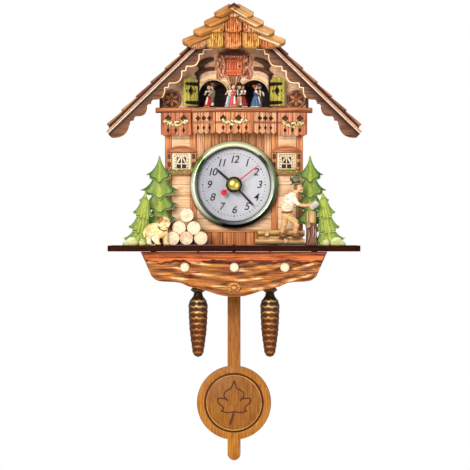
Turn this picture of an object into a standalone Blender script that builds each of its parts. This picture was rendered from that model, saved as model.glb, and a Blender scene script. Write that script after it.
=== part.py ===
"""A carved chalet pendulum wall clock: one named solid for each separate piece.

Shapes are described in millimetres and stored in metres.  X runs to the right seen from the
front, Y runs into the wall and Z runs up.  The origin is the nail seat of the keyhole hanger,
on the wall plane, so the whole clock lies at negative Y.
"""

import math

import bmesh
import bpy
from mathutils import Matrix, Vector

MM = 0.001
GAP = 0.3

# House: heights and half widths
DIAL_Z = -62.0
FLOOR_Z = -107.2
HALF_HOUSE = 51.5
WALL = 3.0
BOARD = 3.0
WALL_BACK = -44.0
WALL_FACE = -48.0
BALCONY_TOP = -6.5
BALCONY_BOTTOM = -9.5

# Roof: 44 degree slopes with a small half-hip leaning over the gable
SLOPE = math.radians(44.0)
RIDGE_UNDER = 64.8
ROOF_HALF = 93.4
ROOF_FRONT = -70.0
ROOF_THICK = 5.5
SHINGLE_ROW = 15.0
HIP_APEX = 73.0
HIP_BOTTOM = 39.0
HIP_HALF = 36.5
HIP_APEX_Y = -55.0
HIP_BOTTOM_Y = -81.0
HIP_THICK_Y = 5.0
HIP_LEAN = (HIP_APEX_Y - HIP_BOTTOM_Y) / (HIP_APEX - HIP_BOTTOM)

# Gable: two arches for the dancers, one small door
ARCH_X = 15.3
ARCH_R = 11.2
ARCH_SPRING = 5.8
PILLAR_FOOT = -3.7
DOOR_HALF = 6.1
DOOR_BOTTOM = 19.9
DOOR_TOP = 33.5

# Balcony rail, in plan: two straight runs and a three-sided bay
RAIL_TOP = -4.5
RAIL_BOTTOM = -8.6
RAIL_END = 58.6
SIDE_PANEL_Y = -56.5
DIAMOND_ARC = 0.006
BAY = [(-30.9, -56.5), (-13.7, -63.0), (14.8, -63.0), (31.6, -56.5)]

# Carousel of dancers
CAROUSEL_Y = -36.0
PLATFORM_R = 23.3
DANCER_R = 17.7
DANCER_FEET = -3.8

# Shelf and apron
SHELF_TOP = -107.5
SHELF_BOTTOM = -111.8
SHELF_DEPTH = 80.0
SHELF_HALF = 93.4
APRON_Y = -62.0
APRON_THICK = 6.0

# Dial
BEZEL_R = 33.0
DIAL_R = 31.5
GLASS_R = 27.6
BUSH_R = 3.9

# Gear train: both pairs share one centre distance
MODULE = 0.6
SETTING_X = 12.0
CANNON_TEETH = 10
SETTING_TEETH = 30
PINION_TEETH = 8
HOUR_TEETH = 32

# Pendulum
PIVOT_Z = -42.0
HANGER_Y = -22.1
PENDULUM_Y = -19.8
PENDULUM_THICK = 3.0
BOB_Z = -227.6
BOB_R = 28.3
ROD_HALF = 4.95
TAIL_Z = -271.5
HOOK_Z = -120.0

# Pine cone weights
CONE_X = 27.0
CONE_Y = -45.0
CONE_PIVOT_Z = -120.0

# Finishes: colour, roughness, metallic
FINISHES = {
    "oak": ((0.45, 0.19, 0.06), 0.55, 0.0),
    "dark_oak": ((0.11, 0.045, 0.03), 0.5, 0.0),
    "roof": ((0.36, 0.13, 0.05), 0.6, 0.0),
    "golden": ((0.62, 0.34, 0.10), 0.55, 0.0),
    "plaster": ((0.72, 0.56, 0.34), 0.8, 0.0),
    "tree": ((0.16, 0.34, 0.08), 0.6, 0.0),
    "light_tree": ((0.42, 0.55, 0.10), 0.6, 0.0),
    "cream": ((0.86, 0.70, 0.45), 0.6, 0.0),
    "figures": ((0.80, 0.55, 0.42), 0.5, 0.0),
    "black": ((0.02, 0.02, 0.02), 0.4, 0.0),
    "plastic": ((0.05, 0.05, 0.06), 0.45, 0.0),
    "nylon": ((0.80, 0.80, 0.76), 0.5, 0.0),
    "chrome": ((0.75, 0.75, 0.72), 0.12, 1.0),
    "steel": ((0.55, 0.55, 0.56), 0.3, 1.0),
    "brass": ((0.75, 0.52, 0.20), 0.25, 1.0),
    "bronze": ((0.35, 0.24, 0.13), 0.4, 1.0),
    "copper": ((0.72, 0.33, 0.18), 0.35, 1.0),
    "silver_dial": ((0.78, 0.79, 0.82), 0.4, 0.3),
    "red": ((0.65, 0.03, 0.03), 0.35, 0.0),
    "glass": ((0.95, 0.97, 1.0), 0.05, 0.0),
}


# ---------------------------------------------------------------- scene and object handling

def clear_scene():
    for item in list(bpy.data.objects):
        bpy.data.objects.remove(item, do_unlink=True)


def new_collection(name):
    collection = bpy.data.collections.new(name)
    bpy.context.scene.collection.children.link(collection)
    return collection


def make_material(name, finish):
    colour, roughness, metallic = FINISHES[finish]
    material = bpy.data.materials.new(name)
    material.use_nodes = True
    shader = material.node_tree.nodes["Principled BSDF"]
    shader.inputs["Base Color"].default_value = (*colour, 1.0)
    shader.inputs["Roughness"].default_value = roughness
    shader.inputs["Metallic"].default_value = metallic
    return material


def work_object(data):
    """A scratch piece, in world coordinates, that later becomes or shapes a finished one."""
    piece = bpy.data.objects.new("work", data)
    bpy.context.scene.collection.objects.link(piece)
    return piece


def discard(piece):
    data = piece.data
    bpy.data.objects.remove(piece, do_unlink=True)
    if isinstance(data, bpy.types.Mesh):
        bpy.data.meshes.remove(data)
    else:
        bpy.data.curves.remove(data)


def bake(piece):
    """Turn a curve or a piece with modifiers into a plain closed mesh in world coordinates."""
    bpy.context.view_layer.update()
    graph = bpy.context.evaluated_depsgraph_get()
    mesh = bpy.data.meshes.new_from_object(piece.evaluated_get(graph))
    mesh.transform(piece.matrix_world)
    discard(piece)
    shape = bmesh.new()
    shape.from_mesh(mesh)
    bmesh.ops.remove_doubles(shape, verts=shape.verts, dist=1e-6)
    bmesh.ops.recalc_face_normals(shape, faces=shape.faces)
    shape.to_mesh(mesh)
    shape.free()
    return work_object(mesh)


def from_bmesh(shape, matrix):
    mesh = bpy.data.meshes.new("work")
    shape.to_mesh(mesh)
    shape.free()
    mesh.transform(matrix)
    return work_object(mesh)


def boolean(base, tools, operation):
    for tool in tools:
        step = base.modifiers.new("boolean", "BOOLEAN")
        step.operation = operation
        step.solver = "EXACT"
        step.object = tool
    result = bake(base)
    for tool in tools:
        discard(tool)
    return result


def fuse(first, *others):
    return boolean(first, others, "UNION")


def cut(base, *cutters):
    return boolean(base, cutters, "DIFFERENCE")


def moved(piece, matrix):
    piece.data.transform(matrix)
    return piece


def finish(collection, piece, name, look, pivot=(0, 0, 0), smooth=True):
    """Name a piece, put its origin on its pivot and give it its own material."""
    origin = Vector(pivot) * MM
    piece.data.transform(Matrix.Translation(-origin))
    piece.location = origin
    piece.name = name
    piece.data.name = name
    piece.data.materials.clear()
    piece.data.materials.append(make_material(name + "_material", look))
    if smooth:
        piece.data.shade_smooth()
        piece.data.set_sharp_from_angle(angle=math.radians(35))
    bpy.context.scene.collection.objects.unlink(piece)
    collection.objects.link(piece)
    return piece


# ---------------------------------------------------------------- outlines

def arc(centre, radius, start, end, steps):
    """Points of an arc, from start to end in degrees."""
    points = []
    for step in range(steps + 1):
        angle = math.radians(start + (end - start) * step / steps)
        points.append((centre[0] + radius * math.cos(angle), centre[1] + radius * math.sin(angle)))
    return points


def circle(centre, radius, steps=24):
    return arc(centre, radius, 0, 360, steps)[:-1]


def rectangle(left, right, bottom, top):
    return [(left, bottom), (right, bottom), (right, top), (left, top)]


def diamond(centre, half_width, half_height):
    x, z = centre
    return [(x + half_width, z), (x, z + half_height), (x - half_width, z), (x, z - half_height)]


def clover(centre, radius):
    """A four-leaved cut-out."""
    points = []
    for step in range(16):
        angle = 2 * math.pi * step / 16
        reach = radius * (0.78 + 0.22 * math.cos(4 * angle))
        points.append((centre[0] + reach * math.cos(angle), centre[1] + reach * math.sin(angle)))
    return points


def mirrored(outline, side):
    return [(side * x, z) for x, z in outline]


def gear_outline(teeth, phase):
    """Straight-sided teeth; the first one points along the angle phase, in degrees."""
    pitch_r = MODULE * teeth / 2
    root_r = pitch_r - 0.85 * MODULE
    tip_r = pitch_r + 0.70 * MODULE
    pitch = 360 / teeth
    points = []
    for tooth in range(teeth):
        middle = phase + tooth * pitch
        for radius, share in ((root_r, -0.27), (tip_r, -0.11), (tip_r, 0.11), (root_r, 0.27)):
            angle = math.radians(middle + share * pitch)
            points.append((radius * math.cos(angle), radius * math.sin(angle)))
    return points


def shifted(outline, x, z):
    return [(a + x, b + z) for a, b in outline]


# ---------------------------------------------------------------- solid shapes

def flat(outline, near, far, holes=(), plane="XZ"):
    """An outline with holes: an XZ outline is extruded along Y, an XY outline along Z."""
    curve = bpy.data.curves.new("outline", "CURVE")
    curve.dimensions = "2D"
    curve.fill_mode = "BOTH"
    curve.extrude = abs(far - near) * MM / 2
    for loop in (outline, *holes):
        spline = curve.splines.new("POLY")
        spline.points.add(len(loop) - 1)
        for point, (across, up) in zip(spline.points, loop):
            point.co = (across * MM, up * MM, 0, 1)
        spline.use_cyclic_u = True
    piece = work_object(curve)
    middle = (near + far) * MM / 2
    if plane == "XZ":
        piece.matrix_world = Matrix.Translation((0, middle, 0)) @ Matrix.Rotation(math.pi / 2, 4, "X")
    else:
        piece.matrix_world = Matrix.Translation((0, 0, middle))
    return with_even_caps(bake(piece))


def with_even_caps(piece):
    """Swap the diagonals of the two flat ends, so that no sliver joins points in a line."""
    shape = bmesh.new()
    shape.from_mesh(piece.data)
    caps = [face for face in shape.faces if len(face.verts) == 3]
    seams = [edge for edge in shape.edges if all(len(face.verts) == 3 for face in edge.link_faces)]
    bmesh.ops.beautify_fill(shape, faces=caps, edges=seams, method="ANGLE")
    shape.to_mesh(piece.data)
    shape.free()
    return piece


def block(left, right, back, front, bottom, top):
    shape = bmesh.new()
    bmesh.ops.create_cube(shape, size=1.0)
    size = Matrix.Diagonal(((right - left) * MM, abs(back - front) * MM, (top - bottom) * MM, 1))
    middle = Vector((left + right, back + front, bottom + top)) * MM / 2
    return from_bmesh(shape, Matrix.Translation(middle) @ size)


def rod(start, end, radius, end_radius=None, sides=10):
    """A round bar or taper between two points."""
    start = Vector(start) * MM
    end = Vector(end) * MM
    line = end - start
    shape = bmesh.new()
    bmesh.ops.create_cone(
        shape, cap_ends=True, segments=sides, depth=line.length,
        radius1=radius * MM, radius2=(radius if end_radius is None else end_radius) * MM)
    turn = Vector((0, 0, 1)).rotation_difference(line.normalized()).to_matrix().to_4x4()
    return from_bmesh(shape, Matrix.Translation((start + end) / 2) @ turn)


def ball(centre, radii, segments=10, rings=7):
    shape = bmesh.new()
    bmesh.ops.create_uvsphere(shape, u_segments=segments, v_segments=rings, radius=MM)
    return from_bmesh(shape, Matrix.Translation(Vector(centre) * MM) @ Matrix.Diagonal((*radii, 1)))


def turned(profile, axis, at, steps=24, ring=False):
    """A profile of (radius, height) turned about the Z or Y axis through a point."""
    mesh = bpy.data.meshes.new("profile")
    corners = [(radius * MM, 0, height * MM) for radius, height in profile]
    edges = [(index, index + 1) for index in range(len(corners) - 1)]
    if ring:
        edges.append((len(corners) - 1, 0))
    mesh.from_pydata(corners, edges, [])
    piece = work_object(mesh)
    screw = piece.modifiers.new("screw", "SCREW")
    screw.axis = "Z"
    screw.steps = steps
    screw.render_steps = steps
    screw.use_merge_vertices = True
    screw.merge_threshold = 1e-6
    turn = Matrix.Rotation(-math.pi / 2, 4, "X") if axis == "Y" else Matrix.Identity(4)
    piece.matrix_world = Matrix.Translation(Vector(at) * MM) @ turn
    return bake(piece)


def tube(inner, outer, low, high, axis, at, steps=24):
    profile = [(outer, high), (outer, low), (inner, low), (inner, high)]
    return turned(profile, axis, at, steps, ring=True)


def strip(points, half_width, bottom, top):
    """A band of even width along a bent line in plan, standing upright."""
    sides = ([], [])
    for index, point in enumerate(points):
        here = Vector(point)
        before = (here - Vector(points[max(index - 1, 0)]))
        after = (Vector(points[min(index + 1, len(points) - 1)]) - here)
        first = (before if before.length else after).normalized()
        second = (after if after.length else before).normalized()
        normal = Vector((-(first.y + second.y), first.x + second.x)).normalized()
        reach = half_width / normal.dot(Vector((-first.y, first.x)))
        sides[0].append(tuple(here + normal * reach))
        sides[1].append(tuple(here - normal * reach))
    return flat(sides[0] + sides[1][::-1], bottom, top, plane="XY")


def leaning(piece, rate, level):
    """Shear a piece in Y, by rate for each unit of height above level."""
    shear = Matrix.Identity(4)
    shear[1][2] = rate
    shear[1][3] = -rate * level * MM
    return moved(piece, shear)


# ---------------------------------------------------------------- case and roof

def roof_under(x):
    return RIDGE_UNDER - abs(x) * math.tan(SLOPE)


def add_back_board(parts):
    """The rear board, open behind the movement and behind the keyhole plate."""
    top = HALF_HOUSE
    outline = [(-top, FLOOR_Z), (top, FLOOR_Z), (top, roof_under(top) - GAP),
               (0, RIDGE_UNDER - GAP), (-top, roof_under(top) - GAP)]
    hatch = rectangle(-30, 30, -93, -33)
    nail_room = rectangle(-6.5, 6.5, -15, 4.5)
    piece = flat(outline, 0, -BOARD, holes=(hatch, nail_room))
    piece = cut(piece, block(-12, 12, 1, -1.4, -22, 8))
    finish(parts, piece, "back_board", "oak", smooth=False)


def add_hanger_plate(parts):
    """The steel keyhole plate let into the rear of the back board."""
    keyhole = arc((0, 0), 2.2, 0, 180, 8) + arc((0, -9), 4.5, 150, 390, 16)
    piece = flat(rectangle(-11.6, 11.6, -21.6, 7.6), -0.1, -1.1, holes=(keyhole,))
    finish(parts, piece, "hanger_plate", "steel", smooth=False)


def add_side_wall(parts, side, name):
    inner = HALF_HOUSE - WALL
    outline = [(inner, FLOOR_Z), (HALF_HOUSE, FLOOR_Z), (HALF_HOUSE, roof_under(HALF_HOUSE) - GAP),
               (inner, roof_under(inner) - GAP)]
    piece = flat(mirrored(outline, side), -BOARD - GAP, WALL_BACK + GAP)
    finish(parts, piece, name, "oak", smooth=False)


def add_front_wall(parts):
    """The lower front with its corner posts and sill, and a hole for the movement's bush."""
    shaft_hole = circle((0, DIAL_Z), BUSH_R + GAP)
    outline = rectangle(-51.8, 51.8, FLOOR_Z, BALCONY_BOTTOM - GAP)
    wall = flat(outline, WALL_BACK, WALL_FACE, holes=(shaft_hole,))
    post_top = -55.5
    sill = -96.7
    half = [(51.6, FLOOR_Z + 0.2), (51.6, post_top), (47, post_top), (47, sill), (32, sill), (32, post_top),
            (26, post_top), (26, sill)]
    relief = flat(half + mirrored(half[::-1], -1), WALL_FACE + 0.5, WALL_FACE - 1.6)
    dial_room = rod((0, WALL_FACE + 3, DIAL_Z), (0, WALL_FACE - 5, DIAL_Z), BEZEL_R + 0.6, sides=36)
    relief = cut(relief, dial_room)
    finish(parts, fuse(wall, relief), "front_wall", "oak", smooth=False)


def arch_cutout():
    """The two arches and the slot that the turning platform passes through, as one notch."""
    right = [(ARCH_X + ARCH_R, BALCONY_TOP + GAP)]
    right += arc((ARCH_X, ARCH_SPRING), ARCH_R, 0, 180, 14)
    right.append((ARCH_X - ARCH_R, PILLAR_FOOT))
    left = [(-x, z) for x, z in reversed(right)]
    return right + left


def add_attic_wall(parts):
    """The gable: arches, cuckoo opening with its carved surround, rosettes and shutter lugs."""
    foot = BALCONY_TOP + GAP
    side = 56.0
    outline = arch_cutout()
    outline += [(-side, foot), (-side, roof_under(side) - GAP), (0, RIDGE_UNDER - GAP),
                (side, roof_under(side) - GAP), (side, foot)]
    hatch = rectangle(-DOOR_HALF + 0.6, DOOR_HALF - 0.6, DOOR_BOTTOM + 0.6, DOOR_TOP - 0.6)
    wall = flat(outline, WALL_BACK, WALL_FACE, holes=(hatch,))
    clear_half = DOOR_HALF + 0.4
    surround = flat([(-9.5, 18.4), (9.5, 18.4), (11.6, 26), (9.5, 36), (0, 40.5), (-9.5, 36), (-11.6, 26)],
                    WALL_FACE + 0.5, WALL_FACE - 2.4,
                    holes=(rectangle(-clear_half, clear_half, DOOR_BOTTOM - 0.4, DOOR_TOP + 0.4),))
    extras = [surround]
    for sign in (-1, 1):
        rosette = rod((sign * 46.8, WALL_FACE + 0.5, 2), (sign * 46.8, WALL_FACE - 1.6, 2), 6.0, sides=20)
        extras.append(rosette)
        for low in (-5.0, 19.6):
            left, right = sorted((sign * 25.6, sign * 28.2))
            extras.append(block(left + 0.2 * sign, right + 0.2 * sign, WALL_FACE + 0.5, WALL_FACE - 2.6,
                                low, low + 1.5))
    finish(parts, fuse(wall, *extras), "attic_wall", "plaster", smooth=False)


def add_roof_board(parts, side, name):
    """A sloping board whose top is stepped in shingle rows, cut back behind the half-hip."""
    rise = ROOF_THICK / math.cos(SLOPE)
    thin = 0.68 * rise
    row = SHINGLE_ROW * math.cos(SLOPE)
    ridge_x = GAP / 2
    outline = [(ridge_x, roof_under(ridge_x)), (ROOF_HALF, roof_under(ROOF_HALF))]
    x = ROOF_HALF
    while x - row > ridge_x:
        outline += [(x, roof_under(x) + rise), (x - row, roof_under(x - row) + thin)]
        x -= row
    outline += [(x, roof_under(x) + rise), (ridge_x, roof_under(ridge_x) + rise)]
    piece = flat(mirrored(outline, side), -GAP, ROOF_FRONT)
    finish(parts, cut(piece, hip_clearance()), name, "roof", smooth=False)


def hip_clearance():
    """Everything in front of the half-hip's rear face."""
    back = HIP_APEX_Y + HIP_THICK_Y + GAP
    return leaning(block(-60, 60, back, back - 60, 20, 100), HIP_LEAN, HIP_APEX)


def add_roof_hip(parts):
    outline = [(0, HIP_APEX), (-HIP_HALF, HIP_BOTTOM), (HIP_HALF, HIP_BOTTOM)]
    piece = flat(outline, HIP_APEX_Y, HIP_APEX_Y + HIP_THICK_Y)
    finish(parts, leaning(piece, HIP_LEAN, HIP_APEX), "roof_hip", "golden", smooth=False)


def on_slope(along, down):
    """A point a distance along the roof's underside from the ridge, and square down from it."""
    x = along * math.cos(SLOPE) - down * math.sin(SLOPE)
    return (x, RIDGE_UNDER - along * math.sin(SLOPE) - down * math.cos(SLOPE))


def add_bargeboard(parts, side, name):
    """The scalloped board under the roof's front edge."""
    shallow = 5.6
    deep = 8.6
    lobe = 14.7
    notch = 3.0
    top_start = 26.0
    eave = 129.4
    outline = [on_slope(top_start, GAP), on_slope(eave, GAP), on_slope(eave, 3.0)]
    end = eave
    while end - lobe > top_start + notch:
        for step in range(7):
            share = step / 6
            bulge = (deep - shallow) * math.sin(math.pi * share)
            outline.append(on_slope(end - lobe * share, shallow + bulge))
        outline += [on_slope(end - lobe, shallow - 1.3), on_slope(end - lobe - notch, shallow - 1.3)]
        end -= lobe + notch
    outline.append(on_slope(top_start, shallow - 1.3))
    piece = flat(mirrored(outline, side), ROOF_FRONT - GAP, ROOF_FRONT - GAP - 3.0)
    finish(parts, cut(piece, hip_clearance()), name, "dark_oak", smooth=False)


# ---------------------------------------------------------------- balcony

def add_balcony_floor(parts):
    inner = HALF_HOUSE - WALL - GAP
    front = SIDE_PANEL_Y + 2.3 + GAP
    bay_front = BAY[1][1] + 2.3 + GAP
    outline = [(-inner, -12), (-inner, WALL_BACK + GAP), (-54.8, WALL_BACK + GAP), (-54.8, front),
               (-31.2, front), (-13.4, bay_front), (14.5, bay_front), (31.9, front), (54.8, front),
               (54.8, WALL_BACK + GAP), (inner, WALL_BACK + GAP), (inner, -12)]
    hole = circle((0, CAROUSEL_Y), 1.8, 16)
    piece = flat(outline, BALCONY_BOTTOM, BALCONY_TOP, holes=(hole,), plane="XY")
    finish(parts, piece, "balcony_floor", "oak", smooth=False)


def railing_panel(width, bottom, planks):
    """An upright pierced panel, centred on X and Y zero, made of pointed planks."""
    plank = width / planks
    left = -width / 2
    outline = [(width / 2, RAIL_TOP - 1.5), (left, RAIL_TOP - 1.5), (left, bottom + 1.6)]
    holes = []
    for index in range(planks):
        start = left + index * plank
        middle = start + plank / 2
        outline += [(middle, bottom), (start + plank, bottom + 1.6)]
        holes.append(diamond((middle, bottom + 4.6 + DIAMOND_ARC * middle * middle), 1.1, 1.9))
        if index % 2:
            holes.append(clover((start, -12.6), 2.2))
    return flat(outline, -0.9, 0.9, holes=holes)


def set_in_plan(piece, x, y, angle):
    return moved(piece, Matrix.Translation((x * MM, y * MM, 0)) @ Matrix.Rotation(angle, 4, "Z"))


def add_side_balustrade(parts, side, name):
    inner = 31.9 if side < 0 else 32.6
    panel = set_in_plan(railing_panel(54.8 - inner, -26.0, 4), side * (54.8 + inner) / 2, SIDE_PANEL_Y, 0)
    left, right = sorted((side * inner, side * RAIL_END))
    rail = block(left, right, SIDE_PANEL_Y + 2, SIDE_PANEL_Y - 2, RAIL_BOTTOM, RAIL_TOP)
    finish(parts, fuse(rail, panel), name, "golden", smooth=False)


def add_bay_balustrade(parts):
    piece = strip(BAY, 2.0, RAIL_BOTTOM, RAIL_TOP)
    for start, end in zip(BAY, BAY[1:]):
        run = Vector(end) - Vector(start)
        middle = (Vector(end) + Vector(start)) / 2
        planks = max(3, round(run.length / 5.2))
        panel = railing_panel(run.length - 1.0, -24.3, planks)
        piece = fuse(piece, set_in_plan(panel, middle.x, middle.y, math.atan2(run.y, run.x)))
    band = strip(BAY, 1.3, -16.4, -15.2)
    finish(parts, fuse(piece, band), "balustrade_bay", "golden", smooth=False)


# ---------------------------------------------------------------- windows and shutters

def add_window(parts, side, name):
    """A latticed window with its header, folded shutters and flower box."""
    middle = side * 39.4
    face = WALL_FACE - GAP
    panes = []
    for column in range(2):
        for row in range(3):
            x = middle - 6.2 + column * 6.5
            z = -42.2 - row * 4.1
            panes.append(rectangle(x, x + 5.9, z, z + 3.5))
    plate = flat(rectangle(middle - 11.4, middle + 11.4, -52, -36), face, face - 2.0, holes=panes)
    header = flat([(middle - 11, -38)] + [(middle + 11, -38)]
                  + arc((middle, -51.6), 18.4, 54, 126, 10), face, face - 4.0)
    box = flat(rectangle(middle - 10.6, middle + 10.6, -54.6, -50.6), face, face - 4.3)
    dial_room = rod((0, face + 2, DIAL_Z), (0, face - 8, DIAL_Z), BEZEL_R + 0.4, sides=48)
    finish(parts, cut(fuse(plate, header, box), dial_room), name, "cream", smooth=False)


def add_shutter(parts, side, name):
    """A planked shutter with a pointed head, standing part open on its upright pivot."""
    width = 13.0
    open_angle = math.radians(35)
    pivot = (side * 27.0, WALL_FACE - 1.5, 0)
    leaf = [(0.4, -3.1), (width, -3.1), (width, 16.4), (width / 2, 19.2), (0.4, 16.4)]
    window = diamond((width / 2, 8.2), 2.0, 3.4)
    slots = [rectangle(width / 2 - 1.5, width / 2 + 1.5, z, z + 0.9) for z in (2.2, 13.2)]
    panel = flat(mirrored(leaf, side), -0.8, 0.8, holes=[mirrored(h, side) for h in (window, *slots)])
    knuckle = rod((0, 0, -3.1), (0, 0, 19.2), 1.1, sides=12)
    piece = fuse(panel, knuckle)
    turn = Matrix.Rotation(-side * open_angle, 4, "Z")
    piece = moved(piece, Matrix.Translation(Vector(pivot) * MM) @ turn)
    finish(parts, piece, name, "light_tree", pivot=pivot, smooth=False)


def add_cuckoo_door(parts):
    pivot = (-DOOR_HALF, WALL_FACE - 2.0, 0)
    panel = flat(rectangle(-DOOR_HALF, DOOR_HALF, DOOR_BOTTOM, DOOR_TOP), WALL_FACE - GAP, WALL_FACE - 1.6)
    bars = []
    for z in (22.0, 30.4):
        bars.append(block(-DOOR_HALF + 0.5, DOOR_HALF - 0.5, WALL_FACE - 1.2, WALL_FACE - 2.4, z, z + 1.2))
    finish(parts, fuse(panel, *bars), "cuckoo_door", "roof", pivot=pivot, smooth=False)


# ---------------------------------------------------------------- carousel

def add_carousel(parts):
    motor = turned([(0, -10.0), (6, -10.0), (6, -22), (0, -22)], "Z", (0, CAROUSEL_Y, 0))
    socket = rod((0, CAROUSEL_Y, -8), (0, CAROUSEL_Y, -16), 1.7, sides=16)
    finish(parts, cut(motor, socket), "carousel_motor", "plastic")
    profile = [(0, -4.1), (PLATFORM_R, -4.1), (PLATFORM_R, -6.1), (1.4, -6.1), (1.4, -15), (0, -15)]
    platform = turned(profile, "Z", (0, CAROUSEL_Y, 0), steps=36)
    finish(parts, platform, "dance_platform", "oak", pivot=(0, CAROUSEL_Y, 0))


def doll(profile, x, y):
    return turned([(radius, DANCER_FEET + height) for radius, height in profile], "Z", (x, y, 0), steps=12)


def add_dancers(parts, bearing, name):
    """A couple holding hands, facing out from the carousel's centre."""
    woman = [(0, 17.2), (1.2, 16.8), (1.7, 15.6), (1.2, 14.1), (0.8, 13.5), (2.1, 12.6), (1.7, 9.2),
             (2.4, 7.5), (3.9, 1.2), (3.7, 0), (0, 0)]
    man = [(0, 18.6), (1.1, 18.3), (1.3, 17.4), (1.6, 16.6), (1.1, 15.0), (0.8, 14.4), (2.2, 13.6),
           (1.9, 8.4), (1.8, 4.0), (1.3, 0), (0, 0)]
    outward = Vector((math.cos(math.radians(bearing)), math.sin(math.radians(bearing))))
    along = Vector((-outward.y, outward.x))
    centre = Vector((0, CAROUSEL_Y)) + outward * DANCER_R
    lady = centre - along * 2.2
    lord = centre + along * 3.0
    arms = rod((*lady, DANCER_FEET + 12.0), (*lord, DANCER_FEET + 12.6), 0.8, sides=8)
    piece = fuse(doll(woman, *lady), doll(man, *lord), arms)
    finish(parts, piece, name, "figures", pivot=(0, CAROUSEL_Y, 0))


# ---------------------------------------------------------------- shelf, apron and carvings

def add_shelf(parts):
    corner = 4.0
    front = -SHELF_DEPTH
    outline = [(-SHELF_HALF, -GAP), (SHELF_HALF, -GAP)]
    outline += arc((SHELF_HALF - corner, front + corner), corner, 0, -90, 5)
    outline += arc((-SHELF_HALF + corner, front + corner), corner, -90, -180, 5)
    slot = rectangle(-15, 15, -26, -15)
    piece = flat(outline, SHELF_BOTTOM, SHELF_TOP, holes=(slot,), plane="XY")
    finish(parts, piece, "shelf", "dark_oak", smooth=False)


def add_base_apron(parts):
    """The carved skirt under the shelf, with its cheeks running back to the wall."""
    top = SHELF_BOTTOM - GAP
    half = [(9.5, -144.6), (24, -140), (33.5, -138), (41, -135), (55, -134), (60.5, -131),
            (63.1, -126), (69.3, top)]
    outline = [(0, -145.4)] + half + mirrored(half[::-1], -1)
    front = flat(outline, APRON_Y, APRON_Y - APRON_THICK)
    waves = [(67.5 - 13.5 * index, -118.6 - 1.4 * (index % 2)) for index in range(11)]
    band = flat([(-67.4, top), (67.4, top)] + waves, APRON_Y - 4, APRON_Y - APRON_THICK - 2)
    pegs = []
    for x in (-36.5, 0.2, 37.7):
        pegs.append(rod((x, APRON_Y - 4, -123.6), (x, APRON_Y - 10.0, -123.6), 3.5, 3.1, sides=16))
    cheeks = [block(*sorted((side * 59.5, side * 62.5)), APRON_Y - 1, -3, -124, top) for side in (-1, 1)]
    boss = ball((0, APRON_Y - APRON_THICK, -138.6), (6.4, 3.0, 5.2))
    finish(parts, fuse(front, band, boss, *pegs, *cheeks), "base_apron", "roof", smooth=False)


def add_tree(parts, name, look, foot, lean, tiers, top, flatten):
    """A carved spruce: tiers of (tip height, tip radius) turned, flattened and leaned in X."""
    x, y = foot
    profile = [(0, top)]
    for height, radius in tiers:
        profile += [(radius, height), (0.55 * radius, height - 0.8)]
    profile += [(2.4, tiers[-1][0] - 1.6), (2.4, FLOOR_Z), (0, FLOOR_Z)]
    piece = turned(profile, "Z", (0, 0, 0), steps=16)
    shape = Matrix.Identity(4)
    shape[1][1] = flatten
    shape[0][2] = lean
    shape[0][3] = (x - lean * FLOOR_Z) * MM
    shape[1][3] = y * MM
    finish(parts, moved(piece, shape), name, look, smooth=False)


def add_trees(parts):
    tall = [(-55.0, 9.6), (-66.4, 14.6), (-77.0, 14.2), (-87.0, 13.0)]
    add_tree(parts, "tree_left_tall", "tree", (-55.6, -56.7), 0.0, tall, -40.5, 0.22)
    tall_right = [(-54.6, 9.8), (-66.4, 11.8), (-77.0, 12.0), (-87.0, 11.6)]
    add_tree(parts, "tree_right_tall", "tree", (56.9, -56.7), 0.0, tall_right, -40.5, 0.24)
    short = [(-74.3, 3.4), (-84.0, 6.6), (-95.2, 8.0), (-104.2, 10.4)]
    add_tree(parts, "tree_left_short", "light_tree", (-73.2, -65.3), 0.172, short, -66.0, 0.42)
    add_tree(parts, "tree_right_short", "light_tree", (73.4, -65.3), -0.172, short, -66.0, 0.42)


def add_log_pile(parts):
    """Six stacked logs seen end-on, on a hidden core that holds them together."""
    rows = [(-85.0, (-35.0,)), (-94.4, (-40.7, -29.8)), (-102.0, (-45.3, -35.3, -24.6))]
    core = flat([(-35, -85), (-45.3, -102), (-24.6, -102)], -61.4, -70.4)
    logs = []
    for z, places in rows:
        logs += [rod((x, -60.4, z), (x, -71.5, z), 5.1, sides=16) for x in places]
    finish(parts, fuse(core, *logs), "log_pile", "cream")


def add_dog(parts):
    """A small carved dog standing in front of the logs."""
    y = -75.3
    body = ball((-58, y, -95.4), (6.6, 2.9, 4.2))
    chest = ball((-53.6, y, -94.6), (4.2, 3.0, 4.8))
    neck = rod((-53.5, y, -93.5), (-51.5, y, -88.6), 2.8, 2.4)
    head = ball((-51.4, y, -89.0), (4.0, 2.8, 2.9))
    snout = rod((-50.5, y, -90.2), (-47.2, y, -92.2), 1.9, 1.2)
    ear = ball((-54.8, y - 1.6, -90.2), (1.6, 1.2, 3.0))
    legs = [rod((x, y, -95.5), (x - 0.4, y, -107.1), 1.9, 1.5) for x in (-62.0, -57.6, -52.0)]
    finish(parts, fuse(body, chest, neck, head, snout, ear, *legs), "dog", "cream")


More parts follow.
